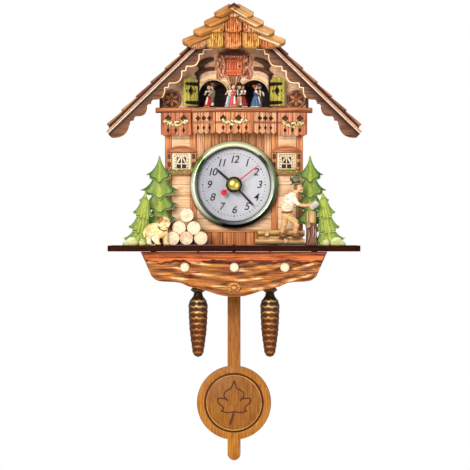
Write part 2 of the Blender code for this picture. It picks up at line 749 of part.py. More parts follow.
def add_woodcutter(parts):
    """A figure bending over the block, mallet in hand."""
    y = -73.0
    trunk = ball((39.2, y, -76.5), (5.4, 3.4, 8.2))
    shoulder = ball((43.0, y, -70.6), (4.6, 3.2, 4.4))
    head = ball((48.0, y, -64.2), (3.0, 2.6, 3.4))
    hat = rod((46.0, y, -62.4), (45.2, y, -56.4), 4.8, 2.2, sides=14)
    neck = rod((44.5, y, -68), (47.5, y, -65), 1.6)
    upper_arm = rod((43.5, y - 1, -71), (47.5, y - 1, -77.2), 2.2, 1.8)
    forearm = rod((47.2, y - 1, -77.0), (56.5, y - 1, -77.4), 1.8, 1.5)
    mallet = rod((56.4, y - 1, -79.6), (61.8, y - 1, -75.6), 2.4, sides=10)
    hips = ball((39.2, y, -84.0), (4.6, 3.2, 3.4))
    back_leg = rod((38, y, -84), (35.2, y, -98.5), 3.0, 2.2)
    front_thigh = rod((40, y, -84), (46.6, y, -91.2), 3.0, 2.5)
    front_shin = rod((46.4, y, -90.6), (44.6, y, -99.6), 2.5, 2.0)
    shoes = [rod((x, y, -102.2), (x, y, -98.0), 2.5, 2.0) for x in (34.6, 44.6)]
    figure = fuse(trunk, shoulder, head, hat, neck, upper_arm, forearm, mallet, hips, back_leg,
                  front_thigh, front_shin, *shoes)
    finish(parts, figure, "woodcutter", "figures")


def add_stump_and_logs(parts):
    y = -68.0
    stump = rod((57.4, y, FLOOR_Z), (57.4, y, -90.6), 4.3, 3.9, sides=14)
    billet = rod((57.2, y, -91.2), (57.2, y, -81.9), 3.4, 3.2, sides=12)
    finish(parts, fuse(stump, billet), "chopping_stump", "dark_oak")
    upper = rod((17.6, -64.6, -98.4), (52.6, -64.6, -98.4), 2.2)
    lower = rod((15.7, -70.0, -104.8), (52.6, -70.0, -104.8), 2.2)
    core = block(19, 51, -62.8, -68.4, FLOOR_Z + 0.1, -98.6)
    finish(parts, fuse(core, upper, lower), "felled_logs", "golden")


# ---------------------------------------------------------------- dial and hands

def add_dial(parts):
    plate = flat(circle((0, DIAL_Z), DIAL_R, 48), -48.3, -49.1, holes=(circle((0, DIAL_Z), 4.3, 24),))
    finish(parts, plate, "dial_plate", "silver_dial", smooth=False)
    section = [(BEZEL_R, -48.3), (BEZEL_R, -53.0), (32.2, -56.0), (30.6, -57.8), (29.2, -57.6), (28.3, -55.6),
               (27.9, -54.0), (27.9, -49.4), (31.8, -49.4), (31.8, -48.3)]
    bezel = turned(section, "Y", (0, 0, DIAL_Z), steps=44, ring=True)
    finish(parts, bezel, "bezel", "chrome")
    outer = [(GLASS_R * share, -62.2 + 5.2 * share * share) for share in (0, 0.25, 0.5, 0.7, 0.86, 1)]
    inner = [(radius, y + 1.1) for radius, y in reversed(outer)]
    lens = turned(outer + inner, "Y", (0, 0, DIAL_Z), steps=32)
    finish(parts, lens, "lens", "glass")
    hexagon = circle((0, DIAL_Z), 6.6, 6)
    nut = flat(hexagon, -49.4, -51.2, holes=(circle((0, DIAL_Z), BUSH_R + 0.2, 24),))
    finish(parts, nut, "fixing_nut", "brass", smooth=False)


def clock_hand(outline, near, far, bore, angle):
    """A hand drawn pointing up, then turned clockwise about the dial's centre."""
    piece = flat(outline, near, far, holes=(circle((0, 0), bore, 20),))
    turn = Matrix.Rotation(math.radians(angle), 4, "Y")
    return moved(piece, Matrix.Translation((0, 0, DIAL_Z * MM)) @ turn)


def add_hands(parts):
    pivot = (0, 0, DIAL_Z)
    hour = arc((0, 0), 4.2, 115, 425, 20) + [(1.7, 5.2), (2.1, 9.5), (0.5, 17.0), (0, 17.7), (-0.5, 17.0),
                                             (-2.1, 9.5), (-1.7, 5.2)]
    finish(parts, clock_hand(hour, -52.6, -53.2, 2.9, 311.6), "hour_hand", "black", pivot, smooth=False)
    minute = arc((0, 0), 3.9, 113, 427, 20) + [(1.3, 6.0), (1.8, 11.5), (0.4, 20.6), (0, 21.4), (-0.4, 20.6),
                                               (-1.8, 11.5), (-1.3, 6.0)]
    finish(parts, clock_hand(minute, -54.2, -54.8, 1.8, 137.1), "minute_hand", "black", pivot, smooth=False)
    second = [(0.5, 2.9), (0.2, 23.3), (-0.2, 23.3), (-0.5, 2.9)]
    second += arc((0, 0), 3.0, 100, 260, 10)
    second += [(-0.5, -8.0)] + arc((0, -10.4), 2.5, 102, 438, 14) + [(0.5, -8.0)]
    second += arc((0, 0), 3.0, 280, 440, 10)
    finish(parts, clock_hand(second, -55.8, -56.2, 0.8, 51.8), "second_hand", "red", pivot, smooth=False)
    dome = [(0, -59.2), (2.4, -58.9), (4.2, -58.1), (5.0, -57.3), (6.0, -57.2), (6.0, -56.5), (0, -56.5)]
    cap = turned(dome, "Y", (0, 0, DIAL_Z), steps=28)
    finish(parts, cap, "centre_cap", "brass", pivot)


# ---------------------------------------------------------------- movement

def gear(teeth, phase, x, near, far, bore):
    outline = shifted(gear_outline(teeth, phase), x, DIAL_Z)
    return flat(outline, near, far, holes=(circle((x, DIAL_Z), bore, 16),))


def add_train(parts):
    """Hour, centre and second wheels on nested arbors, and the setting wheel beside them.

    Each wheel has a tooth on the line of centres where its mate has a gap.
    """
    pivot = (0, 0, DIAL_Z)
    hour_wheel = fuse(gear(HOUR_TEETH, 0, 0, -41.9, -40.7, 2.3),
                      tube(1.9, 2.7, -53.3, -40.9, "Y", pivot, 20))
    finish(parts, hour_wheel, "hour_wheel", "nylon", pivot, smooth=False)
    cannon = gear(CANNON_TEETH, 0, 0, -40.2, -38.6, 1.25)
    wheel = flat(shifted(circle((0, 0), 9.6, 40), 0, DIAL_Z), -38.2, -37.0,
                 holes=(circle((0, DIAL_Z), 1.25, 16),))
    centre_wheel = fuse(wheel, tube(0.9, 1.6, -54.9, -36.0, "Y", pivot, 20), cannon)
    finish(parts, centre_wheel, "centre_wheel", "nylon", pivot, smooth=False)
    second_disc = flat(circle((0, DIAL_Z), 7.0, 30), -34.6, -33.6, holes=(circle((0, DIAL_Z), 0.3, 10),))
    second_shaft = rod((0, -26.4, DIAL_Z), (0, -56.35, DIAL_Z), 0.6, sides=12)
    finish(parts, fuse(second_disc, second_shaft), "second_wheel", "brass", pivot, smooth=False)
    half_setting = 180 / SETTING_TEETH
    half_pinion = 180 / PINION_TEETH
    arbor = rod((SETTING_X, -20.2, DIAL_Z), (SETTING_X, -41.9, DIAL_Z), 1.0, sides=16)
    setting = fuse(gear(SETTING_TEETH, 180 + half_setting, SETTING_X, -40.2, -38.8, 0.5),
                   gear(PINION_TEETH, 180 + half_pinion, SETTING_X, -42.0, -40.0, 0.5), arbor)
    setting_pivot = (SETTING_X, 0, DIAL_Z)
    finish(parts, setting, "setting_wheel", "nylon", setting_pivot, smooth=False)
    knob = cut(rod((SETTING_X, -19.6, DIAL_Z), (SETTING_X, -23.3, DIAL_Z), 4.4, sides=20),
               rod((SETTING_X, -20.0, DIAL_Z), (SETTING_X, -25.0, DIAL_Z), 1.2, sides=16))
    finish(parts, knob, "setting_knob", "plastic", setting_pivot)


def add_movement(parts):
    """The movement's case, cover, coil and cell."""
    left, right, bottom, top = -29.0, 29.0, -92.0, -34.0
    wall = 1.5
    shell = cut(block(left, right, -43.7, -25.5, bottom, top),
                block(left + wall, right - wall, -43.7 + wall, -20, bottom + wall, top - wall),
                rod((0, -40, DIAL_Z), (0, -46, DIAL_Z), 3.4, sides=24))
    bush = tube(3.0, BUSH_R, -52.2, -42.3, "Y", (0, 0, DIAL_Z))
    finish(parts, fuse(shell, bush), "movement_case", "plastic", smooth=False)
    window = rectangle(-27.2, -12.8, -88, -36.5)
    knob_hole = circle((SETTING_X, DIAL_Z), 1.3, 16)
    arbor_hole = circle((0, DIAL_Z), 1.2, 16)
    plate = flat(rectangle(left, right, bottom, top), -25.2, -23.7, holes=(window, knob_hole, arbor_hole))
    bearing = tube(0.7, 1.9, -29.0, -24.4, "Y", (0, 0, DIAL_Z), 16)
    coil_core = rod((0, -24.4, -78), (0, -31.4, -78), 1.2)
    stud = rod((0, -24.4, PIVOT_Z), (0, -20.5, PIVOT_Z), 1.0)
    head = rod((0, -21.3, PIVOT_Z), (0, -20.4, PIVOT_Z), 2.2)
    finish(parts, fuse(plate, bearing, coil_core, stud, head), "movement_cover", "plastic", smooth=False)
    coil = tube(1.5, 5.4, -31.0, -25.6, "Y", (0, 0, -78))
    finish(parts, coil, "drive_coil", "copper")
    cell = [(0, -37.0), (2.7, -37.0), (2.7, -38.4), (7.0, -38.8), (7.0, -87.4), (0, -87.4)]
    finish(parts, turned(cell, "Z", (-20, -33.6, 0), steps=20), "battery_cell", "golden")


# ---------------------------------------------------------------- pendulum and cones

def add_pendulum(parts):
    pivot = (0, HANGER_Y, PIVOT_Z)
    ring = flat(circle((0, PIVOT_Z), 3.4, 20), HANGER_Y + 0.5, HANGER_Y - 0.5,
                holes=(circle((0, PIVOT_Z), 1.3, 16),))
    strap = block(-1.2, 1.2, HANGER_Y + 0.5, HANGER_Y - 0.5, HOOK_Z - 2, PIVOT_Z - 2.4)
    peg = rod((0, HANGER_Y, HOOK_Z), (0, PENDULUM_Y + 2.2, HOOK_Z), 1.0)
    finish(parts, fuse(ring, strap, peg), "pendulum_hanger", "steel", pivot, smooth=False)
    magnet = turned([(0, -17.4), (4.2, -17.4), (4.2, -21.3), (0, -21.3)], "Y", (0, 0, -78), steps=20)
    finish(parts, magnet, "drive_magnet", "steel", pivot)
    reach = math.degrees(math.asin(ROD_HALF / BOB_R))
    outline = [(-ROD_HALF, -115.0), (ROD_HALF, -115.0)]
    outline += arc((0, BOB_Z), BOB_R, 90 - reach, -90 + reach, 24)
    outline += arc((0, TAIL_Z + ROD_HALF), ROD_HALF, 0, -180, 8)
    outline += arc((0, BOB_Z), BOB_R, 270 - reach, 90 + reach, 24)
    half = PENDULUM_THICK / 2
    board = flat(outline, PENDULUM_Y + half, PENDULUM_Y - half, holes=(circle((0, HOOK_Z), 1.3, 16),))
    groove = tube(21.6, 22.8, PENDULUM_Y - half - 1, PENDULUM_Y - half + 0.6, "Y", (0, 0, BOB_Z), 40)
    finish(parts, cut(board, groove), "pendulum_board", "oak", pivot, smooth=False)


def add_cone_hook(parts, x, name):
    """A screw hook under the shelf whose finger runs through the cone's eye."""
    shank = rod((x, CONE_Y + 3.6, CONE_PIVOT_Z - 0.7), (x, CONE_Y + 3.6, SHELF_BOTTOM - GAP), 1.0)
    finger = rod((x, CONE_Y + 3.8, CONE_PIVOT_Z), (x, CONE_Y - 3.6, CONE_PIVOT_Z), 0.8)
    tip = rod((x, CONE_Y - 3.0, CONE_PIVOT_Z - 0.5), (x, CONE_Y - 3.0, CONE_PIVOT_Z + 3.0), 0.8)
    finish(parts, fuse(shank, finger, tip), name, "brass")


def add_pine_cone(parts, x, name):
    """A cast spruce cone with rows of scales, on a stem and eye."""
    profile = [(0, -137.8), (1.2, -138.2), (5.5, -138.7), (5.5, -142.4), (3.3, -143.6)]
    rows = 11
    top, bottom, widest = -144.0, -190.6, -156.0
    for row in range(rows):
        z = top + (bottom - top) * (row + 1) / rows
        share = (z - top) / (widest - top) if z > widest else (z - bottom + 4.0) / (widest - bottom + 4.0)
        radius = 3.0 + 4.5 * math.sin(math.pi / 2 * max(0.1, min(1.0, share)))
        profile += [(radius, z + 0.9), (0.8 * radius, z)]
    profile.append((0, -191.5))
    cone = turned(profile, "Z", (x, CONE_Y, 0), steps=14)
    stem = rod((x, CONE_Y, -122.8), (x, CONE_Y, -139.5), 0.9, sides=10)
    eye = tube(1.4, 3.2, CONE_Y - 0.8, CONE_Y + 0.8, "Y", (x, 0, CONE_PIVOT_Z), 16)
    finish(parts, fuse(cone, stem, eye), name, "bronze", pivot=(x, CONE_Y, CONE_PIVOT_Z))


# ---------------------------------------------------------------- assembly

def add_case(parts):
    add_back_board(parts)
    add_hanger_plate(parts)
    add_side_wall(parts, -1, "side_wall_left")
    add_side_wall(parts, 1, "side_wall_right")
    add_front_wall(parts)
    add_attic_wall(parts)
    add_roof_board(parts, -1, "roof_board_left")
    add_roof_board(parts, 1, "roof_board_right")
    add_roof_hip(parts)
    add_bargeboard(parts, -1, "bargeboard_left")
    add_bargeboard(parts, 1, "bargeboard_right")


def add_front_details(parts):
    add_balcony_floor(parts)
    add_side_balustrade(parts, -1, "balustrade_left")
    add_side_balustrade(parts, 1, "balustrade_right")
    add_bay_balustrade(parts)
    add_window(parts, -1, "window_left")
    add_window(parts, 1, "window_right")
    add_shutter(parts, -1, "shutter_left")
    add_shutter(parts, 1, "shutter_right")
    add_cuckoo_door(parts)
    add_carousel(parts)
    add_dancers(parts, -150, "dancers_left")
    add_dancers(parts, -90, "dancers_front")
    add_dancers(parts, -30, "dancers_right")


def add_base(parts):
    add_shelf(parts)
    add_base_apron(parts)
    add_trees(parts)
    add_log_pile(parts)
    add_dog(parts)
    add_woodcutter(parts)
    add_stump_and_logs(parts)


def add_works(parts):
    add_dial(parts)
    add_hands(parts)
    add_train(parts)
    add_movement(parts)
    add_pendulum(parts)
    for side, name in ((-1, "left"), (1, "right")):
        add_cone_hook(parts, side * CONE_X, "cone_hook_" + name)
        add_pine_cone(parts, side * CONE_X, "cone_" + name)


def main():
    clear_scene()
    parts = new_collection("chalet_clock")
    add_case(parts)
    add_front_details(parts)
    add_base(parts)
    add_works(parts)


main()
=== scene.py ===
"""The looks of a carved chalet pendulum clock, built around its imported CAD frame.

Shapes are made in millimetres and placed in metres.  X runs to the right seen from the front,
Y runs into the wall, so the viewer stands at negative Y, and Z runs up.
"""

import math
import random

import bmesh
import bpy
from mathutils import Matrix, Vector


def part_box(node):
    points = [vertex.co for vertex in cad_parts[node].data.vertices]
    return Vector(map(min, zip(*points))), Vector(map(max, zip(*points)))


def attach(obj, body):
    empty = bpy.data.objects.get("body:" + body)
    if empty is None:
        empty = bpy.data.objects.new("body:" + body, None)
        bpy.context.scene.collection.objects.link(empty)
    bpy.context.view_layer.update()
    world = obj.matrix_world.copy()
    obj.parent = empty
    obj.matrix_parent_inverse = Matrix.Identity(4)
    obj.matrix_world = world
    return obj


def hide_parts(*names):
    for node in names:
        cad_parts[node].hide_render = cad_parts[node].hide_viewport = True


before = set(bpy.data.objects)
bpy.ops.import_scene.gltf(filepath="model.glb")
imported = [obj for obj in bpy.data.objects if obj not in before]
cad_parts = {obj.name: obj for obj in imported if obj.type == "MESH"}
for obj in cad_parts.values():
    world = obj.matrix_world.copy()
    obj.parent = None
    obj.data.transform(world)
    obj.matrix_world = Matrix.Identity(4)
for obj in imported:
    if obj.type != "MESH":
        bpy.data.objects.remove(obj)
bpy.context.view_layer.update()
MM = 0.001
NONE = Matrix.Identity(4)


# ---------------------------------------------------------------- places taken from the CAD frame

def span(node):
    """Lowest and highest corner of a CAD node, in millimetres."""
    low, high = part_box(node)
    return low / MM, high / MM


def middle(node):
    """The centre of a CAD node, in millimetres."""
    low, high = span(node)
    return (low + high) / 2


DIAL_X, _, DIAL_Z = middle("bezel")
FLOOR_Z = span("shelf")[1].z
WALL_FACE = -48.0
WALL_LOW, WALL_HIGH = span("front_wall")
EAVE = span("roof_board_right")[1].x
RIDGE_UNDER = 64.8
SLOPE = math.radians(44.0)
BOB_Z = -227.6
CAROUSEL, PLATFORM_Z = Vector((0, -36.0, 0)), -3.8


# ---------------------------------------------------------------- colours

def srgb(red, green, blue):
    """A display colour, 0 to 255, as the light it stands for."""
    return tuple(((part / 255 + 0.055) / 1.055) ** 2.4 for part in (red, green, blue))


def blend(first, second, share):
    """A colour part of the way from one to another."""
    return tuple(a + (b - a) * share for a, b in zip(first, second))


def shade(colour, factor):
    """A colour made darker or lighter by a factor."""
    return tuple(part * factor for part in colour)


CREAM = srgb(240, 215, 178)
IVORY = srgb(246, 230, 196)
LACE = srgb(236, 226, 200)
DARK_OAK = srgb(66, 32, 17)
BARGE_DARK = srgb(66, 33, 18)
BARGE_LIGHT = srgb(138, 90, 58)
SHELF_BROWN = srgb(52, 18, 4)
LOFT_SHADE_BROWN = srgb(66, 44, 32)
BLACK = srgb(22, 16, 14)
WHITE = srgb(250, 244, 232)
SKIN = srgb(240, 196, 164)
# ---------------------------------------------------------------- node materials

def node(tree, kind, inputs=None, **settings):
    """A shader node, each of its inputs either set to a value or fed by a socket."""
    made = tree.nodes.new(kind)
    for key, value in settings.items():
        setattr(made, key, value)
    for key, value in (inputs or {}).items():
        if isinstance(value, bpy.types.NodeSocket):
            tree.links.new(value, made.inputs[key])
        else:
            made.inputs[key].default_value = value
    return made


def ramp(tree, value, stops):
    """A colour ramp: stops are (place, colour)."""
    made = node(tree, "ShaderNodeValToRGB", {"Fac": value})
    elements = made.color_ramp.elements
    for index, (place, colour) in enumerate(stops):
        element = elements[index] if index < 2 else elements.new(place)
        element.position = place
        element.color = (*colour, 1.0)
    return made.outputs["Color"]


def grey(level):
    """A colour without hue."""
    return (level, level, level)


def multiply(tree, first, second):
    """Two colours or two vectors, multiplied part by part."""
    return node(tree, "ShaderNodeVectorMath", {0: first, 1: second}, operation="MULTIPLY").outputs[0]


def noise(tree, place, scale, detail=4.0, roughness=0.6, twist=0.0):
    """Cloudy noise; scale is in features per millimetre."""
    made = node(tree, "ShaderNodeTexNoise", {
        "Vector": place, "Scale": scale, "Detail": detail, "Roughness": roughness, "Distortion": twist})
    return made.outputs["Fac"]


def point_colour(tree):
    """The colour painted on the points of a mesh."""
    return node(tree, "ShaderNodeAttribute", attribute_name="tint").outputs["Color"]


def own_place(tree, stretch=(1.0, 1.0, 1.0), turn=(0, 0, 0)):
    """Where a point lies in its own object, in millimetres."""
    return node(tree, "ShaderNodeMapping", {
        "Vector": node(tree, "ShaderNodeTexCoord").outputs["Object"],
        "Scale": tuple(part / MM for part in stretch), "Rotation": turn}).outputs["Vector"]


def new_look(name, rough, metallic=0.0, coat=0.0):
    """A new material with its node tree and its shader."""
    look = bpy.data.materials.new(name)
    look.use_nodes = True
    shader = look.node_tree.nodes["Principled BSDF"]
    shader.inputs["Roughness"].default_value = rough
    shader.inputs["Metallic"].default_value = metallic
    shader.inputs["Coat Weight"].default_value = coat
    shader.inputs["Coat Roughness"].default_value = 0.3
    shader.inputs["Specular IOR Level"].default_value = 0.22
    return look, look.node_tree, shader


def places(tree, carried):
    """Where a point lies in its own stick of wood, in millimetres: X runs along the fibres."""
    if carried is None:
        return node(tree, "ShaderNodeAttribute", attribute_name="grain").outputs["Vector"]
    turns = {"X": (0, 0, 0), "Y": (0, 0, math.pi / 2), "Z": (0, math.pi / 2, 0)}
    return own_place(tree, turn=turns[carried[1]])


def crevice(tree, colour, depth, dark):
    """Painted shade: the colour is darkened where the carved hollows are closed in, as shade gathers there.
    """
    closed = node(tree, "ShaderNodeAmbientOcclusion", {"Distance": depth * MM}, samples=6)
    return multiply(tree, colour, ramp(tree, closed.outputs["AO"], [(0.25, dark), (0.85, grey(1.0))]))


def roughen(tree, shader, grit, first, second):
    """Roughness that wanders with fine grit between two levels."""
    spread = ramp(tree, grit, [(0.3, grey(first)), (0.7, grey(second))])
    tree.links.new(spread, shader.inputs["Roughness"])


def emboss(tree, shader, height, strength, depth):
    """Fine relief, its depth in millimetres."""
    bump = node(tree, "ShaderNodeBump", {"Height": height, "Strength": strength, "Distance": depth * MM})
    tree.links.new(bump.outputs["Normal"], shader.inputs["Normal"])


def finish_look(tree, shader, colour, height, relief, rough_from, rough):
    """The colour, the relief and the uneven shine of wood or paint."""
    tree.links.new(colour, shader.inputs["Base Color"])
    emboss(tree, shader, height, relief, 0.25)
    roughen(tree, shader, rough_from, rough + 0.12, rough - 0.08)


def wood(name, rough=0.5, streak=srgb(150, 96, 60), contrast=(0.36, 0.56), scale=1.0, relief=0.35,
         coat=0.04, hollow=1.6, carried=None):
    """Stained wood: dark fibres along the grain, broad patches of tone, painted shade in the hollows."""
    look, tree, shader = new_look(name, rough, coat=coat)
    place = places(tree, carried)
    fibres = noise(tree, multiply(tree, place, (0.03, 1.0, 1.0)), 1.3 * scale, 5.0, 0.6, 0.15)
    pores = noise(tree, multiply(tree, place, (0.06, 1.0, 1.0)), 4.5 * scale, 3.0, 0.7)
    patches = noise(tree, multiply(tree, place, (0.4, 1.0, 1.0)), 0.16 * scale, 2.0, 0.5, 0.5)
    if carried is None:
        colour = point_colour(tree)
    else:
        colour = ramp(tree, patches, [(0.3, shade(carried[0], 0.9)), (0.7, shade(carried[0], 1.08))])
    lines = ramp(tree, fibres, [(contrast[0], streak), (contrast[1], grey(1.0)), (0.8, grey(1.1))])
    tone = ramp(tree, patches, [(0.3, srgb(232, 214, 200)), (0.5, grey(1.0)), (0.72, srgb(255, 250, 235))])
    specks = ramp(tree, pores, [(0.3, grey(0.8)), (0.5, grey(1.0))])
    for layer in (lines, tone, specks):
        colour = multiply(tree, colour, layer)
    # Painted shade in the hollows.
    colour = crevice(tree, colour, hollow, srgb(128, 88, 66))
    height = node(tree, "ShaderNodeMath", {0: fibres, 1: pores}, operation="ADD").outputs[0]
    finish_look(tree, shader, colour, height, relief, pores, rough)
    return look


def paint(name, rough=0.5, carving=0.4, scale=1.0, hollow=1.2, low=srgb(196, 170, 150)):
    """Thin paint over carved wood: soft tool marks, uneven tone and painted shade in the hollows."""
    look, tree, shader = new_look(name, rough, coat=0.04)
    place = places(tree, None)
    marks = noise(tree, multiply(tree, place, (0.35, 1.0, 1.0)), 0.9 * scale, 4.0, 0.6, 0.6)
    grit = noise(tree, place, 4.0 * scale, 3.0, 0.6)
    wear = ramp(tree, marks, [(0.34, low), (0.55, grey(1.0)), (0.8, grey(1.06))])
    # Painted shade in the hollows.
    colour = crevice(tree, multiply(tree, point_colour(tree), wear), hollow, srgb(140, 100, 76))
    finish_look(tree, shader, colour, marks, carving, grit, rough)
    return look


def cloud(tree, place, scale, detail, roughness, dull, bright):
    """Soft clouds of tone from dull to bright."""
    return ramp(tree, noise(tree, place, scale, detail, roughness), [(0.3, dull), (0.7, bright)])


def metal(name, colour, rough, stretch=(1.0, 1.0, 1.0)):
    """Polished or cast metal with a slightly uneven finish."""
    look, tree, shader = new_look(name, rough, metallic=1.0)
    place = own_place(tree, stretch)
    tone = cloud(tree, place, 0.6, 4.0, 0.6, shade(colour, 0.75), colour)
    tree.links.new(tone, shader.inputs["Base Color"])
    grit = noise(tree, place, 3.6, 2.0, 0.5)
    roughen(tree, shader, grit, rough * 1.25, rough * 0.8)
    emboss(tree, shader, grit, 0.05, 0.05)
    return look


def mottled(name, rough, metallic, scale, detail, roughness, bright):
    """The painted tone of each point under soft clouds."""
    look, tree, shader = new_look(name, rough, metallic)
    clouds = cloud(tree, own_place(tree), scale, detail, roughness, grey(0.92), grey(bright))
    tree.links.new(multiply(tree, point_colour(tree), clouds), shader.inputs["Base Color"])
    return look


def plated(name, rough=0.16):
    """Polished plating whose tone is painted round the ring, as a bright room shows in it."""
    return mottled(name, rough, 0.4, 0.3, 2.0, 0.5, 1.0)


def plastic(name, colour, rough=0.45):
    """Moulded plastic with a fine spark-eroded texture."""
    look, tree, shader = new_look(name, rough)
    place = own_place(tree)
    tone = cloud(tree, place, 0.15, 2.0, 0.5, shade(colour, 0.88), colour)
    tree.links.new(tone, shader.inputs["Base Color"])
    grit = noise(tree, place, 3.0, 3.0, 0.6)
    roughen(tree, shader, grit, rough + 0.08, rough - 0.06)
    emboss(tree, shader, grit, 0.15, 0.06)
    return look


# ---------------------------------------------------------------- parts: (points, faces, grain places)

def set_out(name, data):
    """A new object in the scene that shows a mesh, a curve, a light or a camera."""
    made = bpy.data.objects.new(name, data)
    bpy.context.scene.collection.objects.link(made)
    return made


def slab(x0, x1, y0, y1, z0, z1):
    """A plain block."""
    points = [Vector((x, y, z)) for x in (x0, x1) for y in (y0, y1) for z in (z0, z1)]
    faces = [[0, 1, 3, 2], [4, 6, 7, 5], [0, 4, 5, 1], [2, 3, 7, 6], [0, 2, 6, 4], [1, 5, 7, 3]]
    return points, faces, None


def prism(outline, near, far):
    """An outline in X and Z, with depth in Y."""
    count = len(outline)
    points = [Vector((x, y, z)) for y in (near, far) for x, z in outline]
    faces = [list(range(count)), list(range(2 * count - 1, count - 1, -1))]
    for index in range(count):
        after = (index + 1) % count
        faces.append([index, after, count + after, count + index])
    return points, faces, None


def plate(outline, near, far, holes=(), edge=0.25):
    """An outline in X and Z with holes and softened edges, with depth in Y."""
    curve = bpy.data.curves.new("outline", "CURVE")
    curve.dimensions = "2D"
    curve.fill_mode = "BOTH"
    curve.extrude = abs(far - near) / 2 - edge
    curve.bevel_depth = edge
    curve.bevel_resolution = 1
    curve.offset = -edge
    for loop in (outline, *holes):
        spline = curve.splines.new("POLY")
        spline.points.add(len(loop) - 1)
        for point, (across, up) in zip(spline.points, loop):
            point.co = (across, up, 0, 1)
        spline.use_cyclic_u = True
    turn = Matrix.Translation((0, (near + far) / 2, 0)) @ Matrix.Rotation(math.pi / 2, 4, "X")
    return taken(set_out("work", curve), turn)


def board(left, right, low, high, near, far, edge=0.25):
    """A flat board with softened edges."""
    return plate(rectangle(left, right, low, high), near, far, edge=edge)


def taken(work, turn=NONE):
    """The evaluated shape of a scratch object, which is then removed."""
    bpy.context.view_layer.update()
    shown = work.evaluated_get(bpy.context.evaluated_depsgraph_get())
    mesh = bpy.data.meshes.new_from_object(shown)
    shape = bmesh.new()
    shape.from_mesh(mesh)
    bmesh.ops.remove_doubles(shape, verts=shape.verts, dist=1e-4)
    points = [turn @ vertex.co for vertex in shape.verts]
    faces = [[vertex.index for vertex in face.verts] for face in shape.faces]
    shape.free()
    data = work.data
    bpy.data.objects.remove(work, do_unlink=True)
    bpy.data.meshes.remove(mesh)
    if isinstance(data, bpy.types.Mesh):
        bpy.data.meshes.remove(data)
    else:
        bpy.data.curves.remove(data)
    return points, faces, None


def lathe(profile, steps=24, swell=None):
    """A profile of (radius, height) turned about Z. swell(angle, radius, height) may reshape a point."""
    points, rings = [], []
    for radius, height in profile:
        if radius < 1e-6:
            rings.append([len(points)])
            points.append(Vector((0, 0, height)))
            continue
        rings.append(list(range(len(points), len(points) + steps)))
        for step in range(steps):
            angle = 2 * math.pi * step / steps
            reach, up = swell(angle, radius, height) if swell else (radius, height)
            points.append(Vector((reach * math.cos(angle), reach * math.sin(angle), up)))
    if profile[0] == profile[-1] and profile[0][0] > 0:
        rings[-1] = rings[0]
        points = points[:-steps]
    faces = []
    for lower, upper in zip(rings, rings[1:]):
        for step in range(steps):
            after = (step + 1) % steps
            corners = [lower[step % len(lower)], lower[after % len(lower)],
                       upper[after % len(upper)], upper[step % len(upper)]]
            face = list(dict.fromkeys(corners))
            if len(face) > 2:
                faces.append(face)
    return points, faces, None


def disc(radius, low, high, steps=24):
    """A round block about Z."""
    return lathe([(0, low), (radius, low), (radius, high), (0, high)], steps)


def tube_faces(rings, steps):
    """The faces between rings of points that follow one another along a tube."""
    faces = []
    for ring in range(rings - 1):
        low, high = ring * steps, (ring + 1) * steps
        for step in range(steps):
            after = (step + 1) % steps
            faces.append([low + step, low + after, high + after, high + step])
    return faces


def end_faces(rings, steps):
    """The two faces that close such a tube."""
    return [list(range(steps)), list(range(rings * steps - 1, (rings - 1) * steps - 1, -1))]


def sweep(path, radii, sides=8, squash=1.0):
    """A round bar along a path. radii is one number or one for each point."""
    path = [Vector(point) for point in path]
    if not isinstance(radii, (list, tuple)):
        radii = [radii] * len(path)
    tangent = (path[1] - path[0]).normalized()
    up = tangent.orthogonal().normalized()
    points, grain, run = [], [], 0.0
    for index, (here, radius) in enumerate(zip(path, radii)):
        ahead, behind = path[min(index + 1, len(path) - 1)], path[max(index - 1, 0)]
        tangent = (ahead - behind).normalized()
        up = (up - tangent * up.dot(tangent)).normalized()
        side = tangent.cross(up)
        run += (here - behind).length
        for step in range(sides):
            angle = 2 * math.pi * step / sides
            offset = (side * math.cos(angle) + up * math.sin(angle)) * radius
            offset.y *= squash
            points.append(here + offset)
            grain.append(Vector((run, radius * math.cos(angle), radius * math.sin(angle))))
    return points, end_faces(len(path), sides) + tube_faces(len(path), sides), grain


def ball(centre, radii, segments=14, rings=9):
    """An egg. radii is one number or one for each axis."""
    if not isinstance(radii, (list, tuple)):
        radii = (radii,) * 3
    profile = [(math.sin(math.pi * k / rings), math.cos(math.pi * k / rings)) for k in range(rings + 1)]
    profile[0], profile[-1] = (0, 1), (0, -1)
    points, faces, _ = lathe(profile, segments)
    size = Vector(radii)
    return [Vector(centre) + point * size for point in points], faces, None


def melt(parts, voxel=0.35, passes=6):
    """Several closed parts flowed into one carved skin."""
    points, faces = [], []
    for some, those, _ in parts:
        start = len(points)
        points += some
        faces += [[start + index for index in face] for face in those]
    mesh = bpy.data.meshes.new("work")
    mesh.from_pydata(points, [], faces)
    work = set_out("work", mesh)
    skin = work.modifiers.new("skin", "REMESH")
    skin.mode = "VOXEL"
    skin.voxel_size = voxel
    soften = work.modifiers.new("soften", "SMOOTH")
    soften.iterations = passes
    return taken(work)


def soften_edges(piece, width, angle):
    """Rounds the edges that are sharper than an angle in degrees."""
    soften = piece.modifiers.new("softened edges", "BEVEL")
    soften.width = width * MM
    soften.segments = 2
    soften.limit_method = "ANGLE"
    soften.angle_limit = math.radians(angle)
    soften.harden_normals = True


AXES = {"X": (0, 1, 2), "Y": (1, 0, 2), "Z": (2, 0, 1)}


